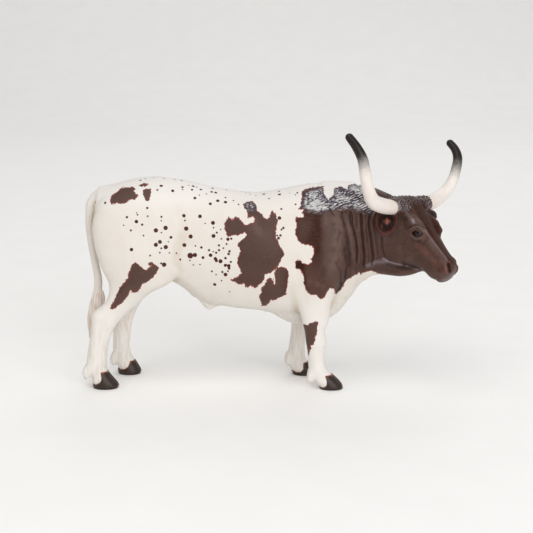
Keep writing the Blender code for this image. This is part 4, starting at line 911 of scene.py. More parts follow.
# Lines of redder paint on the face: half width, strength and points.
FACE_BLUSH = [
    (1.0, 0.45, [(416, 245), (424, 249), (429, 254)]),
    (0.9, 0.35, [(425, 234), (432, 240)]),
    (0.40, 0.6, [(445.0, 264), (445.0, 268.5), (446.8, 273.4)]),
    (0.36, 0.4, [(445.6, 262.6), (449, 261.4), (452, 263.5)]),
    (1.6, 0.25, [(436, 262), (444, 270)]),
]

# Painted sheen: where the brown is painted paler, a painted highlight: half width, strength and points.
PAINTED_SHEEN = [
    (2.6, 0.75, [(252, 222), (262, 234)]),
    (3.4, 0.85, [(334, 212), (339, 236), (337, 262)]),
    (1.3, 0.60, [(342, 284), (352, 272)]),
    (1.0, 0.35, [(349, 226), (353, 256)]),
    (3.6, 0.45, [(394, 244), (408, 256)]),
    (1.6, 0.45, [(424, 252), (438, 264)]),
    (2.2, 0.35, [(400, 222), (406, 236)]),
    (1.4, 0.45, [(310, 282), (322, 286)]),
]

# Dark patches of the far side, which the picture doesn't show, in the side view (x, z).
FAR_PATCHES = [
    [(42, 95), (39, 84), (35, 81.5), (33, 78), (35, 74), (31, 71.5), (26.5, 73), (24, 69.5), (25.5, 66),
     (21.5, 63), (23, 59.5), (27.5, 58), (26.5, 54), (29, 51.5), (27.5, 48), (31, 46.5), (34, 49),
     (36, 45.5), (39.5, 45), (41.5, 47.5), (46, 46), (60, 40), (110, 20), (110, 120), (45, 120)],
    [(-9, 74), (-4, 77), (1, 75.5), (4.5, 78), (9, 75), (8, 70.5), (11.5, 67), (10, 61.5), (6, 60),
     (7, 55), (3, 51), (-1.5, 52.5), (-3, 57), (-8, 58), (-12.5, 55.5), (-15, 59.5), (-12, 64),
     (-14, 68.5), (-10.5, 71)],
    [(12, 48), (15.5, 50.5), (19, 48), (18, 43.5), (14, 42), (11, 44.5)],
    [(-61, 71), (-56, 74.5), (-50, 73), (-47, 69), (-49, 63.5), (-53.5, 60.5), (-55, 56), (-59.5, 55),
     (-62, 60), (-65, 64), (-63.5, 68.5)],
    [(-38, 80), (-34.5, 82.5), (-31, 81), (-29.5, 77.5), (-33, 75), (-37, 76)],
]
FAR_DOTS = 74


def patch_distance(points):
    """The distance to the nearest dark patch's edge, less than nothing in the dark.

    The near side's patches hold where the camera sees them and run out just over the spine.
    """
    seen, flat = stencil(points), points[:, [0, 2]]
    near = np.full(len(points), 4.0)
    for outline in NEAR_PATCHES:
        near = np.minimum(near, signed_distance(seen, from_picture(outline)))
    far = np.full(len(points), 4.0)
    for outline in FAR_PATCHES:
        far = np.minimum(far, signed_distance(flat, outline))
    middle = np.interp(points[:, 0], [30, 60], [0.5, -4.0])
    over = points[:, 1] - middle
    near = near + 2.0 * np.maximum(over, 0)
    far = far + 2.0 * np.maximum(-over, 0)
    far = far + 4.0 * (cloudy(points, 3.4, 31) - 0.5) + 2.6 * (cloudy(points, 1.3, 32) - 0.5)
    leg = signed_distance(seen, from_picture(LEG_PATCH)) + 2.0 * np.maximum(points[:, 1] + 7.5, 0)
    return np.minimum(np.minimum(near, far), leg)


def dots_on(skin):
    """The dots' middles on the skin and their radii: the near ones as seen, the far ones strewn."""
    tree = BVHTree.FromObject(skin, bpy.context.evaluated_depsgraph_get())
    found = []
    rows = np.array(NEAR_DOTS)
    for (x, z), radius in zip(from_picture(rows[:, :2]), rows[:, 2]):
        aim = np.array([x, 0.0, z]) - EYE_POINT
        hit = tree.ray_cast(Vector(EYE_POINT * MM), Vector(aim / np.linalg.norm(aim)))
        if hit[0] is not None:
            found.append((*(np.array(hit[0]) / MM), radius * POINT_MM))
    draw = np.random.default_rng(20)
    for _ in range(FAR_DOTS):
        x, z = draw.uniform(-60, 24), draw.uniform(44, 82)
        radius = draw.choice([0.25, 0.35, 0.45, 0.6, 0.75])
        hit = tree.ray_cast(Vector((x * MM, 0.08, z * MM)), Vector((0, -1, 0)))
        if hit[0] is not None and hit[0][1] > 0.005:
            found.append((*(np.array(hit[0]) / MM), radius))
    for x, y, z in [(-70, -6, 78), (-71, 4, 70), (-68, -8, 62), (-69, 7, 60), (-66, 9, 76), (41, -1, 62)]:
        found.append((*(np.array(tree.find_nearest(Vector((x, y, z)) * MM)[0]) / MM), 0.5))
    return np.array(found)


def nearest_dots(mesh, dots):
    """For each face the middles and radii of the two dots that are nearest to it."""
    centre = np.empty(len(mesh.polygons) * 3)
    mesh.polygons.foreach_get("center", centre)
    centre = centre.reshape(-1, 3) / MM
    best = np.full((2, len(centre)), 1e3)
    chosen = np.zeros((2, len(centre)), int)
    for k, (x, y, z, size) in enumerate(dots):
        edge = np.sqrt(((centre - (x, y, z)) ** 2).sum(1)) - size
        first = edge < best[0]
        second = ~first & (edge < best[1])
        best[1, first], chosen[1, first] = best[0, first], chosen[0, first]
        best[0, first], chosen[0, first] = edge[first], k
        best[1, second], chosen[1, second] = edge[second], k
    return dots[chosen[0]], dots[chosen[1]]


def hollows(mesh, points, rounds=12):
    """How deep each point sits among its neighbours, in millimetres; less than nothing on a ridge.

    It is the distance along the normal to the surface that many rounds of averaging give.
    """
    size = len(points)
    ends = np.empty(len(mesh.edges) * 2, int)
    mesh.edges.foreach_get("vertices", ends)
    one, other = ends.reshape(-1, 2).T
    count = np.bincount(one, minlength=size) + np.bincount(other, minlength=size)
    normals = np.empty(size * 3)
    mesh.vertices.foreach_get("normal", normals)

    def averaged(column):
        return (np.bincount(one, column[other], size) + np.bincount(other, column[one], size)) / count

    smooth = points
    for _ in range(rounds):
        smooth = np.stack([averaged(column) for column in smooth.T], axis=1)
    deep = ((smooth - points) * normals.reshape(-1, 3)).sum(1)
    return averaged(averaged(deep))


def paint_skin(skin):
    """The values that the coat's paint reads at each point of the skin.

    patch_mm is the distance to the nearest patch's edge and hollow the depth of the place. Shade
    and flank are painted shade, partly a wash, on the legs and belly and on the side. The dry
    brushing on hair is partly painted highlight, the pale lines of the face and the sheen are
    painted highlights on the brown, blush is where it is redder, and the warmth is warmer brown
    that is painted shade on the face's front. Each face also knows its two nearest dots.
    """
    mesh = skin.data
    points = coordinates(mesh)
    for number, found in zip("12", nearest_dots(mesh, dots_on(skin))):
        write_values(mesh, "dot_middle_" + number, (found[:, :3] - MIDDLE) * MM, "FACE")
        write_values(mesh, "dot_radius_" + number, found[:, 3], "FACE")
    write_values(mesh, "patch_mm", patch_distance(points))
    write_values(mesh, "hollow", hollows(mesh, points))
    x, y, z = points.T
    # Painted shade, partly a wash, gathers towards the feet, most of all on the hind legs, and under the
    # belly.
    low = (1 - soft_step(z, 8, 46)) * np.interp(x, [-40, 0], [1.25, 0.3])
    under = soft_step(50 - z, 0, 18) * (np.abs(y) < 9)
    write_values(mesh, "shade", np.clip(0.75 * low + 0.7 * under, 0, 1))
    # The side of the barrel, between belly and back, gets painted shade.
    write_values(mesh, "flank", soft_step(z, 30, 46) * (1 - soft_step(z, 72, 83)))
    frost, haze, blush, warmth_and_shade = np.zeros((4, len(points)))
    head, near, top = x > HEAD_RELIEF_FROM, y < 0, (x > 8) & (z > 66)
    # Dry brushing on the hair of the hump and poll, partly a painted highlight.
    frost[top] = hump_hair(points[top])[0]
    frost[head] = np.maximum(frost[head], 0.24 * poll_hair(points[head])[0])
    flat = stencil(near_side(points[head]))
    # The part of the far half that the camera sees edge on has none of the face's painted highlights.
    left = (points[head] - POLL) @ LEFT
    seen_far = soft_step(left, 1, 2) * (1 - soft_step(left, 6.5, 8))
    # Painted highlights along the face's brow, jaw, nasal ridge and muzzle.
    haze[head] = bells(flat, picture_lines(FACE_HIGHLIGHTS)) * (1 - seen_far)
    write_values(mesh, "haze", np.clip(haze, 0, 1))
    seen = stencil(points[near])
    # A painted highlight on top of the flank's patch, partly a dry-brushed spot.
    frost[near] += 0.8 * soft_step(-signed_distance(seen, from_picture(FLANK_HIGHLIGHT)), -0.2, 1.0)
    # Painted sheen on the brown, mirrored from the near side onto the far.
    sheen_highlight = bells(stencil(points * (1, -1, 1)), picture_lines(PAINTED_SHEEN))
    sheen_highlight[near] = bells(seen, picture_lines(PAINTED_SHEEN))
    sheen_highlight[head] *= 1 - seen_far
    blush[head] = bells(flat, picture_lines(FACE_BLUSH)) * (1 - seen_far)
    warmth_and_shade[near] = soft_step(-signed_distance(seen, from_picture(WARM_SHOULDER)), -1, 3)
    # The face's front plane is painted darker and warmer as shade.
    local = points[head] - FACE_START
    down, off = local @ DOWN_FACE, local @ OFF_FACE
    warmth_and_shade[head] = soft_step(left, -4.4, -3.2) * (1 - soft_step(left, 8, 9.5)) * soft_step(off, 3, 5)
    warmth_and_shade[head] *= soft_step(down, -4, 0)
    write_values(mesh, "sheen_highlight", sheen_highlight)
    write_values(mesh, "frost", np.clip(frost, 0, 1))
    write_values(mesh, "blush", np.clip(blush, 0, 1))
    write_values(mesh, "warmth_and_shade", warmth_and_shade)
    place(mesh, points - MIDDLE)


# The horns, ears, eyes, hooves and switch.


def horn_path(side, steps):
    """The horn's middle line and its radius: outwards, forwards a little, then up and back."""
    tip = (-4.9, 40.6, 27.2) if side < 0 else (-4.4, 40.2, 24.8)
    keys = np.array([(0, 9, -0.7), (0, 14, -0.1), (-0.4, 21, 0.9), (-0.4, 27.5, 2.8), (0.6, 33.6, 7.6),
                     (0.9, 37.0, 13.6), (0.3, 38.8, 19.5), (-2.1, 40.0, 24), tip])
    if side > 0:
        keys[-2, 2] -= 1.2
    run = np.concatenate([[0], np.cumsum(np.linalg.norm(np.diff(keys, axis=0), axis=1))])
    run /= run[-1]
    places = np.linspace(0, 1, steps)
    line = eased(run, keys, places)
    radius = eased([0, 0.12, 0.35, 0.55, 0.8, 1.0], [2.4, 2.95, 2.95, 2.4, 2.05, 1.6], places)
    return np.array([in_head(f, side * s, u) for f, s, u in line]), radius, places


def make_horn(name, side):
    """Round sections carried along the horn's line, closed by a rounded tip.

    The radius carries faint growth rings near the root: radius * (1 + ripple of the length).
    """
    line, radius, places = horn_path(side, 110)
    angle = np.linspace(0, 2 * np.pi, 40, endpoint=False)
    direction = np.gradient(line, axis=0)
    direction /= np.linalg.norm(direction, axis=1, keepdims=True)
    across = np.cross(direction, FORWARD)
    across /= np.linalg.norm(across, axis=1, keepdims=True)
    other = np.cross(direction, across)
    ripple = 1 + 0.012 * np.sin(places * 150 + 1.5 * np.sin(places * 37)) * (1 - soft_step(places, 0.2, 0.5))
    radius = radius * ripple
    turn = np.cos(angle)[None, :, None], np.sin(angle)[None, :, None]
    rings = line[:, None] + radius[:, None, None] * (turn[0] * across[:, None] + turn[1] * other[:, None])
    lift = np.sin(np.linspace(0, np.pi / 2, 7)[1:-1])
    scale = (np.sqrt(1 - lift**2) * radius[-1])[:, None, None]
    cap = (line[-1] + (lift * radius[-1])[:, None] * direction[-1])[:, None]
    cap = cap + scale * (turn[0] * across[-1] + turn[1] * other[-1])
    rings = np.concatenate([rings, cap])
    length = np.concatenate([places, 1 + 0.02 * lift])[:, None] + 0 * angle[None]
    pale_to, dark_from = (0.66, 0.86) if side < 0 else (0.57, 0.84)
    return add_tube(name, rings, line[0], line[-1] + radius[-1] * direction[-1],
                    {"length": length, "fade": (length - pale_to) / (dark_from - pale_to)})


# The ears: root, tip and the way the cup faces, in the head's forward, left and up, and how far
# the cup stands forward of the line from root to tip.
EARS = {
    "ear_right": ((-3.4, -10.9, -2.9), (-1.0, -15.9, -12.9), (0.45, -0.88, 0.14), 4.4),
    "ear_left": ((-1.5, 9.7, -4.0), (2.6, 18.2, -5.2), (0.62, -0.20, -0.75), 0.8),
}
EAR_HALF_WIDTH = 4.3
EAR_DEPTH = 2.5


def ear_height(t, u):
    """How far the ear's inside stands out of its cup at t along it and u across, from -1 to 1.

    A bowl that is shallow at the rim, with a fleshy lobe and combed hair standing in it.
    """
    bowl = np.sqrt(np.clip(1 - u**2, 0, 1)) * np.sin(np.pi * np.clip(t, 0, 1) ** 0.8) ** 0.5
    lobe = 0.9 * np.exp(-((t - 0.42) / 0.14) ** 2 - ((u + 0.05) / 0.34) ** 2)
    combed = 0.16 * np.sin(17 * u + 5 * t) * np.exp(-((t - 0.40) / 0.22) ** 2 - (u / 0.6) ** 2)
    notch = 0.5 * np.exp(-((u - 0.45 + 0.5 * (t - 0.6)) / 0.14) ** 2) * np.exp(-((t - 0.66) / 0.2) ** 2)
    return bowl, lobe + combed + notch


def make_ear(name):
    """A cupped leaf: at each place along it the back is an arc, and the inside is ear_height."""
    root, tip, facing, forward = (np.array(item) for item in EARS[name])
    length = np.linalg.norm(tip - root)
    along = (tip - root) / length
    facing = facing - along * (facing @ along)
    facing /= np.linalg.norm(facing)
    across = np.cross(along, facing)
    rows, half = 44, 34
    t = np.linspace(0, 1, rows)[:, None]
    u = np.concatenate([np.linspace(-1, 1, half), np.linspace(1, -1, half)])[None]
    front = (np.arange(2 * half) >= half)[None]
    wide = EAR_HALF_WIDTH * np.interp(t, [0, 0.15, 0.4, 0.65, 0.85, 1], [0.60, 0.86, 1.0, 0.94, 0.66, 0.22])
    deep = EAR_DEPTH * np.interp(t, [0, 0.25, 0.6, 1], [0.9, 1.0, 0.8, 0.3])
    arc = np.sqrt(np.clip(1 - (0.97 * u) ** 2, 0, 1))
    bowl, stands = ear_height(t, u)
    rim = 0.42
    outward = np.where(front, -(deep - rim) * bowl + stands * bowl + rim * (1 - bowl) * 0.6, -deep * arc)
    sideways = wide * np.where(front, 0.93, 1.0) * u
    centre = root + t[..., None] * length * along + forward * facing
    spots = centre + outward[..., None] * facing + sideways[..., None] * across
    axes = np.stack([FORWARD, LEFT, UP])
    rings = POLL + spots @ axes
    inside = front * (0.35 + 0.65 * bowl + 0 * t)
    lobe = front * np.clip(stands, 0, 1)
    return add_tube("painted_" + name, rings, rings[0].mean(0), rings[-1].mean(0),
                    {"inside": inside, "lobe": lobe})


def make_eye(name, side):
    """A ball whose pole looks out of the socket, with a slight bulge at the pupil."""
    down, off, aside = EYE_PLACE
    centre = FACE_START + down * DOWN_FACE + off * OFF_FACE + side * aside * LEFT
    gaze = side * LEFT + 0.25 * OFF_FACE + 0.1 * DOWN_FACE
    gaze /= np.linalg.norm(gaze)
    level = np.cross(gaze, UP)
    level /= np.linalg.norm(level)
    rise = np.cross(level, gaze)
    polar = np.linspace(0, np.pi, 30)[1:-1, None, None]
    turn = np.linspace(0, 2 * np.pi, 48, endpoint=False)[None, :, None]
    swell = EYE_RADIUS * (1 + 0.02 * np.exp(-(polar / 0.5) ** 2))
    around = np.cos(turn) * level + np.sin(turn) * rise
    rings = centre + swell * (np.cos(polar) * gaze + np.sin(polar) * around)
    wide = (polar + 0 * turn)[..., 0]
    flat = wide * np.cos(turn[..., 0]), wide * np.sin(turn[..., 0])
    return add_tube(name, rings, centre + 1.02 * EYE_RADIUS * gaze, centre - EYE_RADIUS * gaze,
                    {"off_gaze": wide, "level": flat[0], "rise": flat[1]})


def make_hoof(name):
    """The foot's own section carried from the sole up to the slanting coronet.

    Height = sole + t * (coronet - sole); the section is pushed out a little and cleft between
    the toes by a bell across the middle line, in front and behind.
    """
    rows, side, coronet = FEET[name]
    leg = leg_form(side, rows)
    line = np.array(coronet)
    angle = np.linspace(0, 2 * np.pi, 72, endpoint=False)
    front, _ = leg.section(3.0, angle)
    top = np.interp(front, line[:, 0], line[:, 1])
    steps = np.concatenate([[0, 0.05], np.linspace(0.12, 1, 12), [1.04, 1.0]])
    inset = np.concatenate([[0.25, 0.03], np.zeros(12), [0.16, 1.0]])
    swell = 0.17
    rings = []
    for t, inner in zip(steps, inset):
        z = SOLE_LEVEL + t * (top - SOLE_LEVEL)
        x, y = leg.section(z, angle)
        middle = leg.at(leg.middle, z), leg.at(leg.shift, z)
        out = np.hypot(x - middle[0], y - middle[1])
        scale = 1 + (swell - inner) / out
        x, y = middle[0] + (x - middle[0]) * scale, middle[1] + (y - middle[1]) * scale
        cleft = np.exp(-((y - middle[1]) / 0.42) ** 2)
        x = x - 0.75 * cleft * np.sign(np.cos(angle)) * (1 - 0.5 * t)
        rings.append(np.stack([x, y, z], axis=1))
    rings = np.array(rings)
    sole = rings[0].mean(0) + (0, 0, 0.1)
    height = steps[:, None] + 0 * angle[None]
    return add_tube("painted_" + name, rings, sole, rings[-1].mean(0), {"height": height})


def make_switch(name):
    """The tail's hair: its section carried down to a point, grooved into twisting locks."""
    form = Form(SWITCH, along=Z, high=X, side=Y, square=2.1, ends=(1, 1))
    angle = np.linspace(0, 2 * np.pi, 96, endpoint=False)[None]
    t = np.linspace(0, 1, 90)[:, None]
    end, top = 16.9, 41.2
    z = end + t * (top - end)
    x, y = form.section(z + 0 * angle, angle + 0 * z)
    middle = form.at(form.middle, z), form.at(form.shift, z)
    twist = angle + 0.9 * np.sin(2.2 * t + 0.5) + 0.25 * np.sin(9 * t)
    locks = 0.075 * np.abs(np.sin(4.5 * twist)) + 0.055 * np.sin(13 * twist + 4 * t)
    locks = locks + 0.05 * np.sin(21 * t + 3 * twist)
    point = soft_step(t, 0.0, 0.10)
    tuck = 1 - 0.35 * soft_step(t, 0.92, 1.0)
    scale = (0.35 + 0.65 * point) * tuck * (0.96 + locks)
    rings = np.stack([middle[0] + (x - middle[0]) * scale, middle[1] + (y - middle[1]) * scale,
                      z + 0 * angle], axis=2)
    ends = rings[0].mean(0) - (0.2, 0, 0.7), rings[-1].mean(0) + (0, 0, 0.3)
    return add_tube(name, rings, *ends, {"groove": locks, "length": t + 0 * angle})


# The paints.


def linear(code):
    """A colour written as sRGB hex, as the linear numbers that shaders take."""
    channel = np.array([int(code[k:k + 2], 16) / 255 for k in (1, 3, 5)])
    value = np.where(channel <= 0.04045, channel / 12.92, ((channel + 0.055) / 1.055) ** 2.4)
    return tuple(float(v) for v in value)


def add_node(tree, kind, inputs=None, out=0, **settings):
    """A node with its settings, its constants and its links; gives one of its outputs."""
    node = tree.nodes.new(kind)
    for key, value in settings.items():
        setattr(node, key, value)
    for key, value in (inputs or {}).items():
        if isinstance(value, bpy.types.NodeSocket):
            tree.links.new(value, node.inputs[key])
        else:
            node.inputs[key].default_value = value
    return node.outputs[out]


def new_paint(name, **constants):
    """A material and its Principled shader, with constants set on the shader's own sockets."""
    material = bpy.data.materials.new(name)
    material.use_nodes = True
    shader = material.node_tree.nodes["Principled BSDF"]
    for key, value in constants.items():
        shader.inputs[key.replace("_", " ")].default_value = value
    return material, material.node_tree, shader


def coat_paint(colours):
    """Hand-painted vinyl: a warm white first coat, tan wash in the hollows, chocolate patches.

    The wash is partly painted shade, in the hollows, on the side, under the belly and towards the
    feet, and gives the eye depth in the folds. The brown is painted darker in its folds as shade and
    paler on ridges, part dry brushing and part painted highlight, and it carries painted highlights,
    sheen and a cool reflection. The patches have ragged brushed edges with a reddish line where the
    brown thins out. The brown is a little glossier than the white, and reflects less where it is warm.
    """
    material, tree, shader = new_paint("painted_vinyl_coat", IOR=1.47, Coat_Weight=0.05, Coat_Roughness=0.28)
    spot = add_node(tree, "ShaderNodeTexCoord", out="Object")
    patch, hollow, shade, flank, frost, haze, sheen_highlight, blush, warmth_and_shade = (
        add_node(tree, "ShaderNodeAttribute", out="Fac", attribute_name=name) for name in
        ("patch_mm", "hollow", "shade", "flank", "frost", "haze", "sheen_highlight", "blush", "warmth_and_shade"))
    # Brush marks at the patches' edges are about 1 mm long, with hairs down to 0.1 mm.
    rough_edge = add_node(tree, "ShaderNodeTexNoise",
                          {"Vector": spot, "Scale": 1000.0, "Detail": 4.0, "Roughness": 0.65})
    shifted = add_node(tree, "ShaderNodeMath", {0: rough_edge, 1: 2.0, 2: patch}, operation="MULTIPLY_ADD")
    patch_edge = add_node(tree, "ShaderNodeMath", {0: shifted, 1: 1.0}, operation="SUBTRACT")
    # The brown thins to a reddish line over its last 0.5 mm, but not on dots, nor on the dry
    # brushing and painted highlights.
    rim = add_node(tree, "ShaderNodeMapRange", {"Value": patch_edge, "From Min": -0.50, "From Max": -0.20,
                                                "To Max": 0.65}, interpolation_type="SMOOTHSTEP")
    on_patch = add_node(tree, "ShaderNodeMath", {0: patch_edge, 1: 0.3}, operation="LESS_THAN")
    bare = add_node(tree, "ShaderNodeMath", {0: 1.0, 1: frost}, operation="SUBTRACT", use_clamp=True)
    for part in (on_patch, bare):
        rim = add_node(tree, "ShaderNodeMath", {0: rim, 1: part}, operation="MULTIPLY")
    # Each of the two nearest dots is a ball about its middle, as ragged as the brush marks.
    edge = patch_edge
    for number in "12":
        middle = add_node(tree, "ShaderNodeAttribute", out="Vector", attribute_name="dot_middle_" + number)
        away = add_node(tree, "ShaderNodeVectorMath", {0: spot, 1: middle}, out="Value",
                        operation="DISTANCE")
        radius = add_node(tree, "ShaderNodeAttribute", out="Fac", attribute_name="dot_radius_" + number)
        radius = add_node(tree, "ShaderNodeMath", {0: rough_edge, 1: -0.3, 2: radius},
                          operation="MULTIPLY_ADD")
        radius = add_node(tree, "ShaderNodeMath", {0: radius, 1: 0.21}, operation="ADD")
        away = add_node(tree, "ShaderNodeMath", {0: away, 1: 1000.0}, operation="MULTIPLY")
        away = add_node(tree, "ShaderNodeMath", {0: away, 1: radius}, operation="SUBTRACT")
        edge = add_node(tree, "ShaderNodeMath", {0: edge, 1: away}, operation="MINIMUM")
    dark = add_node(tree, "ShaderNodeMapRange", {"Value": edge, "From Min": 0.08, "From Max": -0.08},
                    interpolation_type="SMOOTHSTEP")
    # The wash dries in clouds about 6 mm across.
    clouds = add_node(tree, "ShaderNodeTexNoise", {"Vector": spot, "Scale": 160.0, "Detail": 3.0})
    # The wash pools in hollows, partly as painted shade; the brown is paler on ridges, part dry
    # brushing and part painted highlight, and painted darker in the folds as shade.
    wash_and_shade, ridge, deep = (
        add_node(tree, "ShaderNodeMapRange", {"Value": hollow, "From Min": start, "From Max": full,
                                              "To Max": most}) for start, full, most in
        ((0.01, 0.30, 0.8), (-0.01, -0.13, 0.6), (0.015, 0.085, 0.9)))
    # Down the legs the wash ran in streaks about 0.9 mm apart.
    upright = add_node(tree, "ShaderNodeMapping", {"Vector": spot, "Scale": (1.0, 1.0, 7.0)},
                       vector_type="TEXTURE")
    runs = add_node(tree, "ShaderNodeTexNoise", {"Vector": upright, "Scale": 1100.0, "Detail": 2.0})
    runs = add_node(tree, "ShaderNodeMapRange",
                    {"Value": runs, "From Min": 0.42, "From Max": 0.68, "To Min": 0.05, "To Max": 0.60})
    # The streaks follow the painted shade towards the feet and under the belly.
    runs = add_node(tree, "ShaderNodeMath", {0: runs, 1: shade}, operation="MULTIPLY")
    wash_and_shade = add_node(tree, "ShaderNodeMath", {0: runs, 1: wash_and_shade}, operation="ADD")
    # The side of the barrel gets painted shade from the same wash.
    wash_and_shade = add_node(tree, "ShaderNodeMath", {0: flank, 1: 0.32, 2: wash_and_shade}, operation="MULTIPLY_ADD")
    cloudy_wash = add_node(tree, "ShaderNodeMapRange", {"Value": clouds, "From Min": 0.3, "From Max": 0.75,
                                                        "To Min": 0.75, "To Max": 1.2})
    wash_and_shade = add_node(tree, "ShaderNodeMath", {0: wash_and_shade, 1: cloudy_wash}, operation="MULTIPLY",
                      use_clamp=True)
    white = add_node(tree, "ShaderNodeMix", {0: wash_and_shade, 6: (*colours.white, 1), 7: (*colours.wash, 1)},
                     out=2, data_type="RGBA")
    # The brown was laid on in brush marks about 2.4 mm across.
    brush = add_node(tree, "ShaderNodeTexNoise",
                     {"Vector": spot, "Scale": 420.0, "Detail": 5.0, "Roughness": 0.65})
    brushed = add_node(tree, "ShaderNodeMapRange", {"Value": brush, "From Min": 0.32, "From Max": 0.7})
    shine = add_node(tree, "ShaderNodeMapRange", {"Value": warmth_and_shade, "To Min": 0.24, "To Max": 0.07})
    tree.links.new(shine, shader.inputs["Specular IOR Level"])
    # The warm brown lies in the brush marks, and on the face's front as painted shade.
    warmer = add_node(tree, "ShaderNodeMath", {0: brushed, 1: 0.4, 2: warmth_and_shade}, operation="MULTIPLY_ADD",
                      use_clamp=True)
    brown = add_node(tree, "ShaderNodeMix", {0: warmer, 6: (*colours.brown, 1), 7: (*colours.warm, 1)},
                     out=2, data_type="RGBA")
    # Painted sheen, blush and a violet glaze that paints the cool reflection on the dry-brushed hair.
    sheen_highlight, blush, cool_reflection = (add_node(tree, "ShaderNodeMath", {0: part, 1: share}, operation="MULTIPLY")
                          for part, share in ((sheen_highlight, brushed), (blush, brushed), (frost, 0.85)))
    # Ridges and the painted sheen share the paler brown.
    ridge = add_node(tree, "ShaderNodeMath", {0: sheen_highlight, 1: 1.4, 2: ridge}, operation="MULTIPLY_ADD",
                     use_clamp=True)
    # Dry-brushed strokes are about 0.4 mm wide and 1.9 mm long and rise towards the head.
    combed = add_node(tree, "ShaderNodeMapping", {"Vector": spot, "Rotation": (0.0, -0.44, 0.0),
                                                  "Scale": (4.5, 1.6, 1.0)}, vector_type="TEXTURE")
    hairs = add_node(tree, "ShaderNodeTexNoise", {"Vector": combed, "Scale": 2400.0, "Detail": 2.0})
    faint = add_node(tree, "ShaderNodeMapRange",
                     {"Value": hairs, "From Min": 0.52, "From Max": 0.75, "To Max": 0.45})
    # The dry brush left paint where the strokes, the clouds and the ridges together stand high;
    # on the hair it is partly a painted highlight.
    stroke = hairs
    for part, share in ((clouds, 0.9), (hollow, -1.2), (frost, 0.10)):
        stroke = add_node(tree, "ShaderNodeMath", {0: part, 1: share, 2: stroke}, operation="MULTIPLY_ADD")
    stroke = add_node(tree, "ShaderNodeMapRange", {"Value": stroke, "From Min": 1.00, "From Max": 1.18,
                                                   "To Max": 0.9}, interpolation_type="SMOOTHSTEP")
    # It stayed about 1.5 mm clear of the patches' edges.
    inset = add_node(tree, "ShaderNodeMapRange",
                     {"Value": patch, "From Min": -0.3, "From Max": -1.8, "To Min": 0.15})
    for part in (frost, inset):
        stroke = add_node(tree, "ShaderNodeMath", {0: stroke, 1: part}, operation="MULTIPLY")
    # The dots are single touches of a fine brush, redder than the patches.
    dotted = add_node(tree, "ShaderNodeMath", {0: edge, 1: patch_edge}, operation="LESS_THAN")
    # Each layer of the brown lies over the ones before it.
    layers = ((ridge, colours.ridge), (blush, colours.blush), (haze, colours.haze), (cool_reflection, colours.violet),
              (faint, colours.ridge), (stroke, colours.frost), (deep, colours.deep), (rim, colours.rim),
              (dotted, colours.dots))
    for cover, paint in layers:
        brown = add_node(tree, "ShaderNodeMix", {0: cover, 6: brown, 7: (*paint, 1)}, out=2,
                         data_type="RGBA")
    colour = add_node(tree, "ShaderNodeMix", {0: dark, 6: white, 7: brown}, out=2, data_type="RGBA")
    tree.links.new(colour, shader.inputs["Base Color"])
    gloss = add_node(tree, "ShaderNodeMapRange", {"Value": dark, "To Min": 0.52, "To Max": 0.40})
    gloss = add_node(tree, "ShaderNodeMath", {0: brush, 1: 0.12, 2: gloss}, operation="MULTIPLY_ADD")
    tree.links.new(gloss, shader.inputs["Roughness"])
    # The moulding's skin is grained at about 0.15 mm; it is drawn at 0.5 mm so that it shows.
    grain = add_node(tree, "ShaderNodeTexNoise", {"Vector": spot, "Scale": 2000.0, "Detail": 3.0})
    bump = add_node(tree, "ShaderNodeBump", {"Height": grain, "Strength": 0.12, "Distance": 0.0002},
                    out="Normal")
    tree.links.new(bump, shader.inputs["Normal"])
    return material


def horn_paint(colours):
    """Cream enamel over moulded vinyl, airbrushed dark at the tips and faintly pink at the root.

    The fade along the length and thin streaks keep the horn from looking like plain plastic.
    """
    material, tree, shader = new_paint("airbrushed_vinyl_horn", IOR=1.47, Specular_IOR_Level=0.3,
                                       Roughness=0.36, Coat_Weight=0.05, Coat_Roughness=0.2)
    spot = add_node(tree, "ShaderNodeTexCoord", out="Object")
    length = add_node(tree, "ShaderNodeAttribute", out="Fac", attribute_name="length")
    # Sprayed paint speckles at about 1.4 mm, and the cream is streaked at about 4 mm.
    speckle = add_node(tree, "ShaderNodeTexNoise", {"Vector": spot, "Scale": 700.0, "Detail": 3.0})
    fade = add_node(tree, "ShaderNodeAttribute", out="Fac", attribute_name="fade")
    blurred = add_node(tree, "ShaderNodeMath", {0: speckle, 1: 0.3, 2: fade}, operation="MULTIPLY_ADD")
    tip = add_node(tree, "ShaderNodeMapRange", {"Value": blurred, "From Min": 0.15, "From Max": 1.15},
                   interpolation_type="SMOOTHSTEP")
    root = add_node(tree, "ShaderNodeMapRange",
                    {"Value": length, "From Min": 0.35, "From Max": 0.05, "To Max": 0.6})
    streaks = add_node(tree, "ShaderNodeTexNoise", {"Vector": spot, "Scale": 260.0, "Detail": 4.0})
    streaked = add_node(tree, "ShaderNodeMapRange",
                        {"Value": streaks, "From Min": 0.35, "From Max": 0.75, "To Max": 0.5})
    colour = (*colours.horn, 1)
    for cover, paint in ((streaked, linear("#ded2c4")), (root, linear("#dcc6b6")), (tip, colours.horn_tip)):
        colour = add_node(tree, "ShaderNodeMix", {0: cover, 6: colour, 7: (*paint, 1)}, out=2,
                          data_type="RGBA")
    tree.links.new(colour, shader.inputs["Base Color"])
    return material


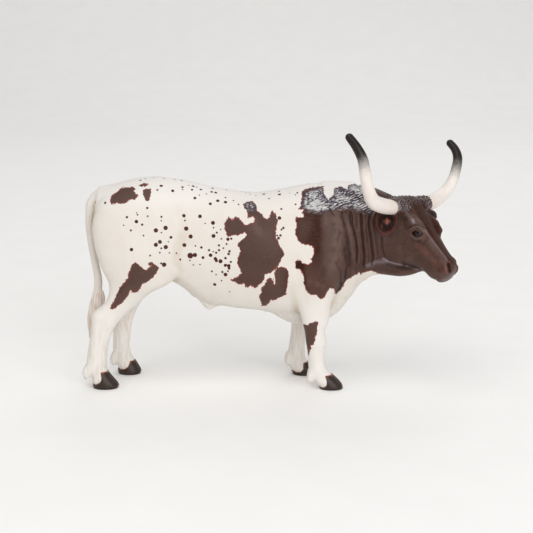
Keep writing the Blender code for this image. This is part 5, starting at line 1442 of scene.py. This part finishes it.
def hoof_paint(colours):
    """Dark brown enamel brushed over the toes, with a rusty line where it meets the coat."""
    material, tree, shader = new_paint("brushed_enamel_hoof", IOR=1.48, Specular_IOR_Level=0.35,
                                       Coat_Weight=0.08, Coat_Roughness=0.2)
    spot = add_node(tree, "ShaderNodeTexCoord", out="Object")
    height = add_node(tree, "ShaderNodeAttribute", out="Fac", attribute_name="height")
    # Brush marks run about 1.2 mm apart.
    marks = add_node(tree, "ShaderNodeTexNoise", {"Vector": spot, "Scale": 800.0, "Detail": 4.0})
    edge = add_node(tree, "ShaderNodeMath", {0: marks, 1: 0.14, 2: height}, operation="MULTIPLY_ADD")
    line = add_node(tree, "ShaderNodeMapRange", {"Value": edge, "From Min": 1.00, "From Max": 1.07,
                                                 "To Max": 0.8}, interpolation_type="SMOOTHSTEP")
    worn = add_node(tree, "ShaderNodeMapRange",
                    {"Value": marks, "From Min": 0.45, "From Max": 0.8, "To Max": 0.6})
    colour = (*colours.hoof, 1)
    for cover, code in ((worn, "#4a3425"), (line, "#8a4a30")):
        colour = add_node(tree, "ShaderNodeMix", {0: cover, 6: colour, 7: (*linear(code), 1)}, out=2,
                          data_type="RGBA")
    tree.links.new(colour, shader.inputs["Base Color"])
    gloss = add_node(tree, "ShaderNodeMapRange", {"Value": marks, "To Min": 0.26, "To Max": 0.5})
    tree.links.new(gloss, shader.inputs["Roughness"])
    return material


def eye_paint():
    """Black gloss paint over a moulded ball, with a dark brown ring for the iris.

    The gloss gives the eye its one sharp highlight.
    """
    material, tree, shader = new_paint("gloss_painted_eye", IOR=1.45, Specular_IOR_Level=0.2, Roughness=0.15,
                                       Coat_Weight=0.05, Coat_Roughness=0.05)
    level = add_node(tree, "ShaderNodeAttribute", out="Fac", attribute_name="level")
    rise = add_node(tree, "ShaderNodeAttribute", out="Fac", attribute_name="rise")
    long_way = add_node(tree, "ShaderNodeMath", {0: level, 1: 0.62}, operation="MULTIPLY")
    flat = add_node(tree, "ShaderNodeCombineXYZ", {0: long_way, 1: rise})
    away = add_node(tree, "ShaderNodeVectorMath", {0: flat}, out="Value", operation="LENGTH")
    iris = add_node(tree, "ShaderNodeMapRange", {"Value": away, "From Min": 0.16, "From Max": 0.24})
    outer = add_node(tree, "ShaderNodeMapRange", {"Value": away, "From Min": 0.42, "From Max": 0.6})
    colour = (*linear("#070605"), 1)
    for cover, code in ((iris, "#31251f"), (outer, "#191312")):
        colour = add_node(tree, "ShaderNodeMix", {0: cover, 6: colour, 7: (*linear(code), 1)}, out=2,
                          data_type="RGBA")
    tree.links.new(colour, shader.inputs["Base Color"])
    return material


def ear_paint(colours):
    """Painted vinyl ear: the coat's brown outside, a reddish rim, a hollow and a fleshy lobe.

    The hollow is darkened with painted shade.
    """
    material, tree, shader = new_paint("painted_vinyl_ear", IOR=1.47, Specular_IOR_Level=0.24,
                                       Roughness=0.45, Coat_Weight=0.05, Coat_Roughness=0.28)
    spot = add_node(tree, "ShaderNodeTexCoord", out="Object")
    inside = add_node(tree, "ShaderNodeAttribute", out="Fac", attribute_name="inside")
    lobe = add_node(tree, "ShaderNodeAttribute", out="Fac", attribute_name="lobe")
    # Brush marks are about 1.1 mm across.
    brush = add_node(tree, "ShaderNodeTexNoise", {"Vector": spot, "Scale": 900.0, "Detail": 4.0})
    edge = add_node(tree, "ShaderNodeMath", {0: brush, 1: 0.35, 2: inside}, operation="MULTIPLY_ADD")
    colour = (*colours.brown, 1)
    # The rim, the hollow darkened as painted shade, and the lobe:
    # what each follows, where it begins and is full, its paint.
    for guide, start, full, paint in ((edge, 0.22, 0.42, colours.ear), (edge, 0.78, 1.0, linear("#24110d")),
                                      (lobe, 0.25, 0.7, linear("#8f5548"))):
        cover = add_node(tree, "ShaderNodeMapRange", {"Value": guide, "From Min": start, "From Max": full},
                         interpolation_type="SMOOTHSTEP")
        colour = add_node(tree, "ShaderNodeMix", {0: cover, 6: colour, 7: (*paint, 1)}, out=2,
                          data_type="RGBA")
    tree.links.new(colour, shader.inputs["Base Color"])
    bump = add_node(tree, "ShaderNodeBump", {"Height": brush, "Strength": 0.25, "Distance": 0.0003},
                    out="Normal")
    tree.links.new(bump, shader.inputs["Normal"])
    return material


def switch_paint(colours):
    """Painted vinyl hair of the tail: warm white on the locks, pinkish tan wash between them.

    The wash between the locks is partly painted shade.
    """
    material, tree, shader = new_paint("washed_vinyl_hair", IOR=1.47, Roughness=0.5)
    spot = add_node(tree, "ShaderNodeTexCoord", out="Object")
    groove = add_node(tree, "ShaderNodeAttribute", out="Fac", attribute_name="groove")
    # The wash dries in clouds about 3 mm across.
    clouds = add_node(tree, "ShaderNodeTexNoise", {"Vector": spot, "Scale": 350.0, "Detail": 3.0})
    wash_and_shade = add_node(tree, "ShaderNodeMath", {0: clouds, 1: -0.08, 2: groove}, operation="MULTIPLY_ADD")
    wash_and_shade = add_node(tree, "ShaderNodeMapRange", {"Value": wash_and_shade, "From Min": 0.06, "From Max": -0.05,
                                                   "To Min": 0.15, "To Max": 0.75})
    length = add_node(tree, "ShaderNodeAttribute", out="Fac", attribute_name="length")
    pink = add_node(tree, "ShaderNodeMapRange",
                    {"Value": length, "From Min": 0.5, "From Max": 0.05, "To Max": 0.55})
    colour = (*colours.white, 1)
    for cover, code in ((wash_and_shade, "#cbb3a0"), (pink, "#c29a8b")):
        colour = add_node(tree, "ShaderNodeMix", {0: cover, 6: colour, 7: (*linear(code), 1)}, out=2,
                          data_type="RGBA")
    tree.links.new(colour, shader.inputs["Base Color"])
    return material


def floor_paint():
    """Matt white paper: pale, with a trace of fibre so that it isn't perfectly even."""
    material, tree, shader = new_paint("matt_paper_sweep", Roughness=0.9)
    spot = add_node(tree, "ShaderNodeTexCoord", out="Object")
    # The fibres gather in clouds about 25 mm across.
    fibre = add_node(tree, "ShaderNodeTexNoise", {"Vector": spot, "Scale": 40.0, "Detail": 2.0})
    colour = add_node(tree, "ShaderNodeMix", {0: fibre, 6: (*linear("#fbfaf8"), 1),
                                              7: (*linear("#f6f5f3"), 1)}, out=2, data_type="RGBA")
    tree.links.new(colour, shader.inputs["Base Color"])
    return material


# Sizes and colours that a user can change.


# Each paint: its key, its name, where it lies and its colour. The wash and the brown of the
# folds are partly painted shade, the warm brown is painted shade on the face's front as well as
# brush marks, the pale lines of the face are painted highlights, the ridge brown is partly
# painted highlight, the violet glaze is a painted cool reflection and the dry brushing is partly
# painted highlight.
PAINTS = (
    ("white", "White", "First coat of the body", "#e1dcd6"),
    ("wash", "Wash", "Tan wash in the hollows", "#c8bba9"),
    ("brown", "Brown", "Patches, neck and head", "#432a22"),
    ("warm", "Warm brown", "Brush marks in the brown", "#361a10"),
    ("dots", "Dots", "Small dots of the flank", "#431a14"),
    ("haze", "Haze", "Pale rubbed lines of the face", "#928a90"),
    ("ridge", "Ridge", "Brown rubbed lighter on ridges", "#5c453d"),
    ("deep", "Deep", "Brown in the folds", "#2c1810"),
    ("violet", "Violet", "Glaze under the dry brushing", "#43394a"),
    ("frost", "Frost", "Dry brushing on the hump and poll", "#d0d0cd"),
    ("blush", "Blush", "Reddish touches on the face", "#7c463a"),
    ("rim", "Rim", "Reddish line round the patches", "#8a3322"),
    ("ear", "Ear", "The rim of the ears", "#552e25"),
    ("horn", "Horn", "Cream of the horns", "#e8e0da"),
    ("horn_tip", "Horn tip", "Dark tips of the horns", "#1d1411"),
    ("hoof", "Hoof", "The hooves", "#2a1d15"),
)


class LonghornPaints(bpy.types.PropertyGroup):
    """One colour for each paint"""
    __annotations__ = {key: bpy.props.FloatVectorProperty(name=name, description=where, size=3,
                                                          subtype="COLOR", default=linear(code))
                       for key, name, where, code in PAINTS}


class LonghornShape(bpy.types.PropertyGroup):
    """The fineness of the mesh and the power of the lights"""
    grid: bpy.props.FloatProperty(name="Grid", description="Fineness of the body's mesh, in millimetres",
                                  default=0.97, min=0.5, max=2.0)
    key_light: bpy.props.FloatProperty(name="Key light", description="Power of the light above", default=4.3,
                                       min=0.0, subtype="POWER", unit="POWER")
    fill_light: bpy.props.FloatProperty(name="Fill light", description="Power of the light in front",
                                        default=11.3, min=0.0, subtype="POWER", unit="POWER")


# One operator for each piece or pair of pieces, and one for the studio.


def dress(thing, material, slot, *nodes):
    """The piece gets its paint, rides on the figure and stands for its solids."""
    thing.data.materials.clear()
    thing.data.materials.append(material)
    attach(thing, "root")
    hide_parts(*nodes)


class LONGHORN_OT_coat(bpy.types.Operator):
    """Make the body, neck, head, legs and tail with their painted coat"""
    bl_idname = "longhorn.coat"
    bl_label = "Coat"

    def execute(self, context):
        skin = make_skin(context.scene.longhorn_shape.grid)
        paint_skin(skin)
        skin.data.shade_smooth()
        dress(skin, coat_paint(context.scene.longhorn_paints), "coat_white", "torso", "neck", "head",
              "foreleg_right", "foreleg_left", "hindleg_right", "hindleg_left", "tail")
        return {"FINISHED"}


class LONGHORN_OT_ears(bpy.types.Operator):
    """Make both ears"""
    bl_idname = "longhorn.ears"
    bl_label = "Ears"

    def execute(self, context):
        material = ear_paint(context.scene.longhorn_paints)
        for name in EARS:
            dress(make_ear(name), material, "coat_brown", name)
        return {"FINISHED"}


class LONGHORN_OT_horns(bpy.types.Operator):
    """Make both horns"""
    bl_idname = "longhorn.horns"
    bl_label = "Horns"

    def execute(self, context):
        material = horn_paint(context.scene.longhorn_paints)
        for name, side in (("horn_right", -1), ("horn_left", 1)):
            dress(make_horn("painted_" + name, side), material, "horn_paint", name)
        return {"FINISHED"}


class LONGHORN_OT_eyes(bpy.types.Operator):
    """Make both eyes"""
    bl_idname = "longhorn.eyes"
    bl_label = "Eyes"

    def execute(self, context):
        material = eye_paint()
        for name, side in (("eye_right", -1), ("eye_left", 1)):
            dress(make_eye("painted_" + name, side), material, "eye_gloss", name)
        return {"FINISHED"}


class LONGHORN_OT_hooves(bpy.types.Operator):
    """Make the four hooves"""
    bl_idname = "longhorn.hooves"
    bl_label = "Hooves"

    def execute(self, context):
        material = hoof_paint(context.scene.longhorn_paints)
        for name in FEET:
            dress(make_hoof(name), material, "hoof_paint", name)
        return {"FINISHED"}


class LONGHORN_OT_switch(bpy.types.Operator):
    """Make the hair at the tail's end"""
    bl_idname = "longhorn.switch"
    bl_label = "Tail switch"

    def execute(self, context):
        dress(make_switch("painted_tail_switch"), switch_paint(context.scene.longhorn_paints), "coat_white",
              "tail_switch")
        return {"FINISHED"}


def add_light(name, where, size, power, colour):
    """A square soft light that looks at the figure's middle."""
    light = bpy.data.lights.new(name, "AREA")
    light.size = size
    light.energy = power
    light.color = colour
    thing = bpy.data.objects.new(name, light)
    thing.location = where
    aim = Vector((0, 0, 0.05)) - Vector(where)
    thing.rotation_euler = aim.to_track_quat("-Z", "Y").to_euler()
    bpy.context.scene.collection.objects.link(thing)


class LONGHORN_OT_studio(bpy.types.Operator):
    """Set up the paper sweep, the soft lights and the camera"""
    bl_idname = "longhorn.studio"
    bl_label = "Studio"

    def execute(self, context):
        scene, shape = context.scene, context.scene.longhorn_shape
        # The sweep in metres: 3 m of floor, a bend of 0.6 m radius and 2.5 m of wall.
        across = np.linspace(-2.5, 2.5, 9)
        run = np.linspace(0, 1, 40)
        bend = np.clip((run - 0.55) / 0.25, 0, 1) * np.pi / 2
        depth = -2.0 + 3.0 * np.minimum(run, 0.55) / 0.55 + 0.6 * np.sin(bend)
        rise = 0.6 * (1 - np.cos(bend)) + 2.5 * np.maximum(run - 0.8, 0) / 0.2
        grid = np.stack(np.broadcast_arrays(across[None], depth[:, None], rise[:, None]), axis=2)
        rows, columns = grid.shape[:2]
        k = (np.arange(rows - 1)[:, None] * columns + np.arange(columns - 1)).ravel()
        faces = np.stack([k, k + 1, k + columns + 1, k + columns], axis=1)
        sweep = add_piece("paper_sweep", grid.reshape(-1, 3) / MM, faces, placed=False)
        sweep.data.shade_smooth()
        sweep.data.materials.append(floor_paint())
        add_light("key", (-0.25, -0.55, 1.1), 0.9, shape.key_light, (1.0, 0.98, 0.96))
        add_light("fill", (0.5, -1.2, 0.35), 1.2, shape.fill_light, (0.97, 0.98, 1.0))
        add_light("rim", (0.2, 0.9, 0.9), 0.8, shape.key_light * 0.5, (0.95, 0.97, 1.0))
        world = bpy.data.worlds.new("pale_room")
        world.use_nodes = True
        world.node_tree.nodes["Background"].inputs["Color"].default_value = (1.0, 1.0, 1.0, 1.0)
        world.node_tree.nodes["Background"].inputs["Strength"].default_value = 0.54
        scene.world = world
        scene.view_settings.view_transform = "Standard"
        camera = bpy.data.objects.new("camera", bpy.data.cameras.new("camera"))
        camera.data.lens = LENS
        camera.data.sensor_width = SENSOR
        camera.data.clip_start = 0.01
        turned = Matrix(np.stack([VIEW_RIGHT, VIEW_UP, VIEW_BACK], axis=1).tolist()).to_4x4()
        camera.matrix_world = Matrix.Translation(Vector((EYE_POINT - MIDDLE) * MM)) @ turned
        scene.collection.objects.link(camera)
        scene.camera = camera
        return {"FINISHED"}


class LONGHORN_PT_figure(bpy.types.Panel):
    """The figure's sizes and paints, and a button for each operator"""
    bl_idname = "LONGHORN_PT_figure"
    bl_label = "Longhorn figure"
    bl_space_type = "VIEW_3D"
    bl_region_type = "UI"
    bl_category = "Longhorn"

    def draw(self, context):
        for group in (context.scene.longhorn_shape, context.scene.longhorn_paints):
            for key in group.bl_rna.properties.keys():
                if key not in ("rna_type", "name"):
                    self.layout.prop(group, key)
        for operator in OPERATORS:
            self.layout.operator(operator.bl_idname)


OPERATORS = (LONGHORN_OT_coat, LONGHORN_OT_ears, LONGHORN_OT_horns, LONGHORN_OT_eyes, LONGHORN_OT_hooves,
             LONGHORN_OT_switch, LONGHORN_OT_studio)
CLASSES = (LonghornPaints, LonghornShape, *OPERATORS, LONGHORN_PT_figure)


def register():
    for item in CLASSES:
        bpy.utils.register_class(item)
    bpy.types.Scene.longhorn_paints = bpy.props.PointerProperty(type=LonghornPaints)
    bpy.types.Scene.longhorn_shape = bpy.props.PointerProperty(type=LonghornShape)


def unregister():
    del bpy.types.Scene.longhorn_paints
    del bpy.types.Scene.longhorn_shape
    for item in reversed(CLASSES):
        bpy.utils.unregister_class(item)


def main():
    """Makes every piece and the studio."""
    register()
    for operator in OPERATORS:
        group, name = operator.bl_idname.split(".")
        getattr(getattr(bpy.ops, group), name)()


if __name__ == "__main__":
    main()
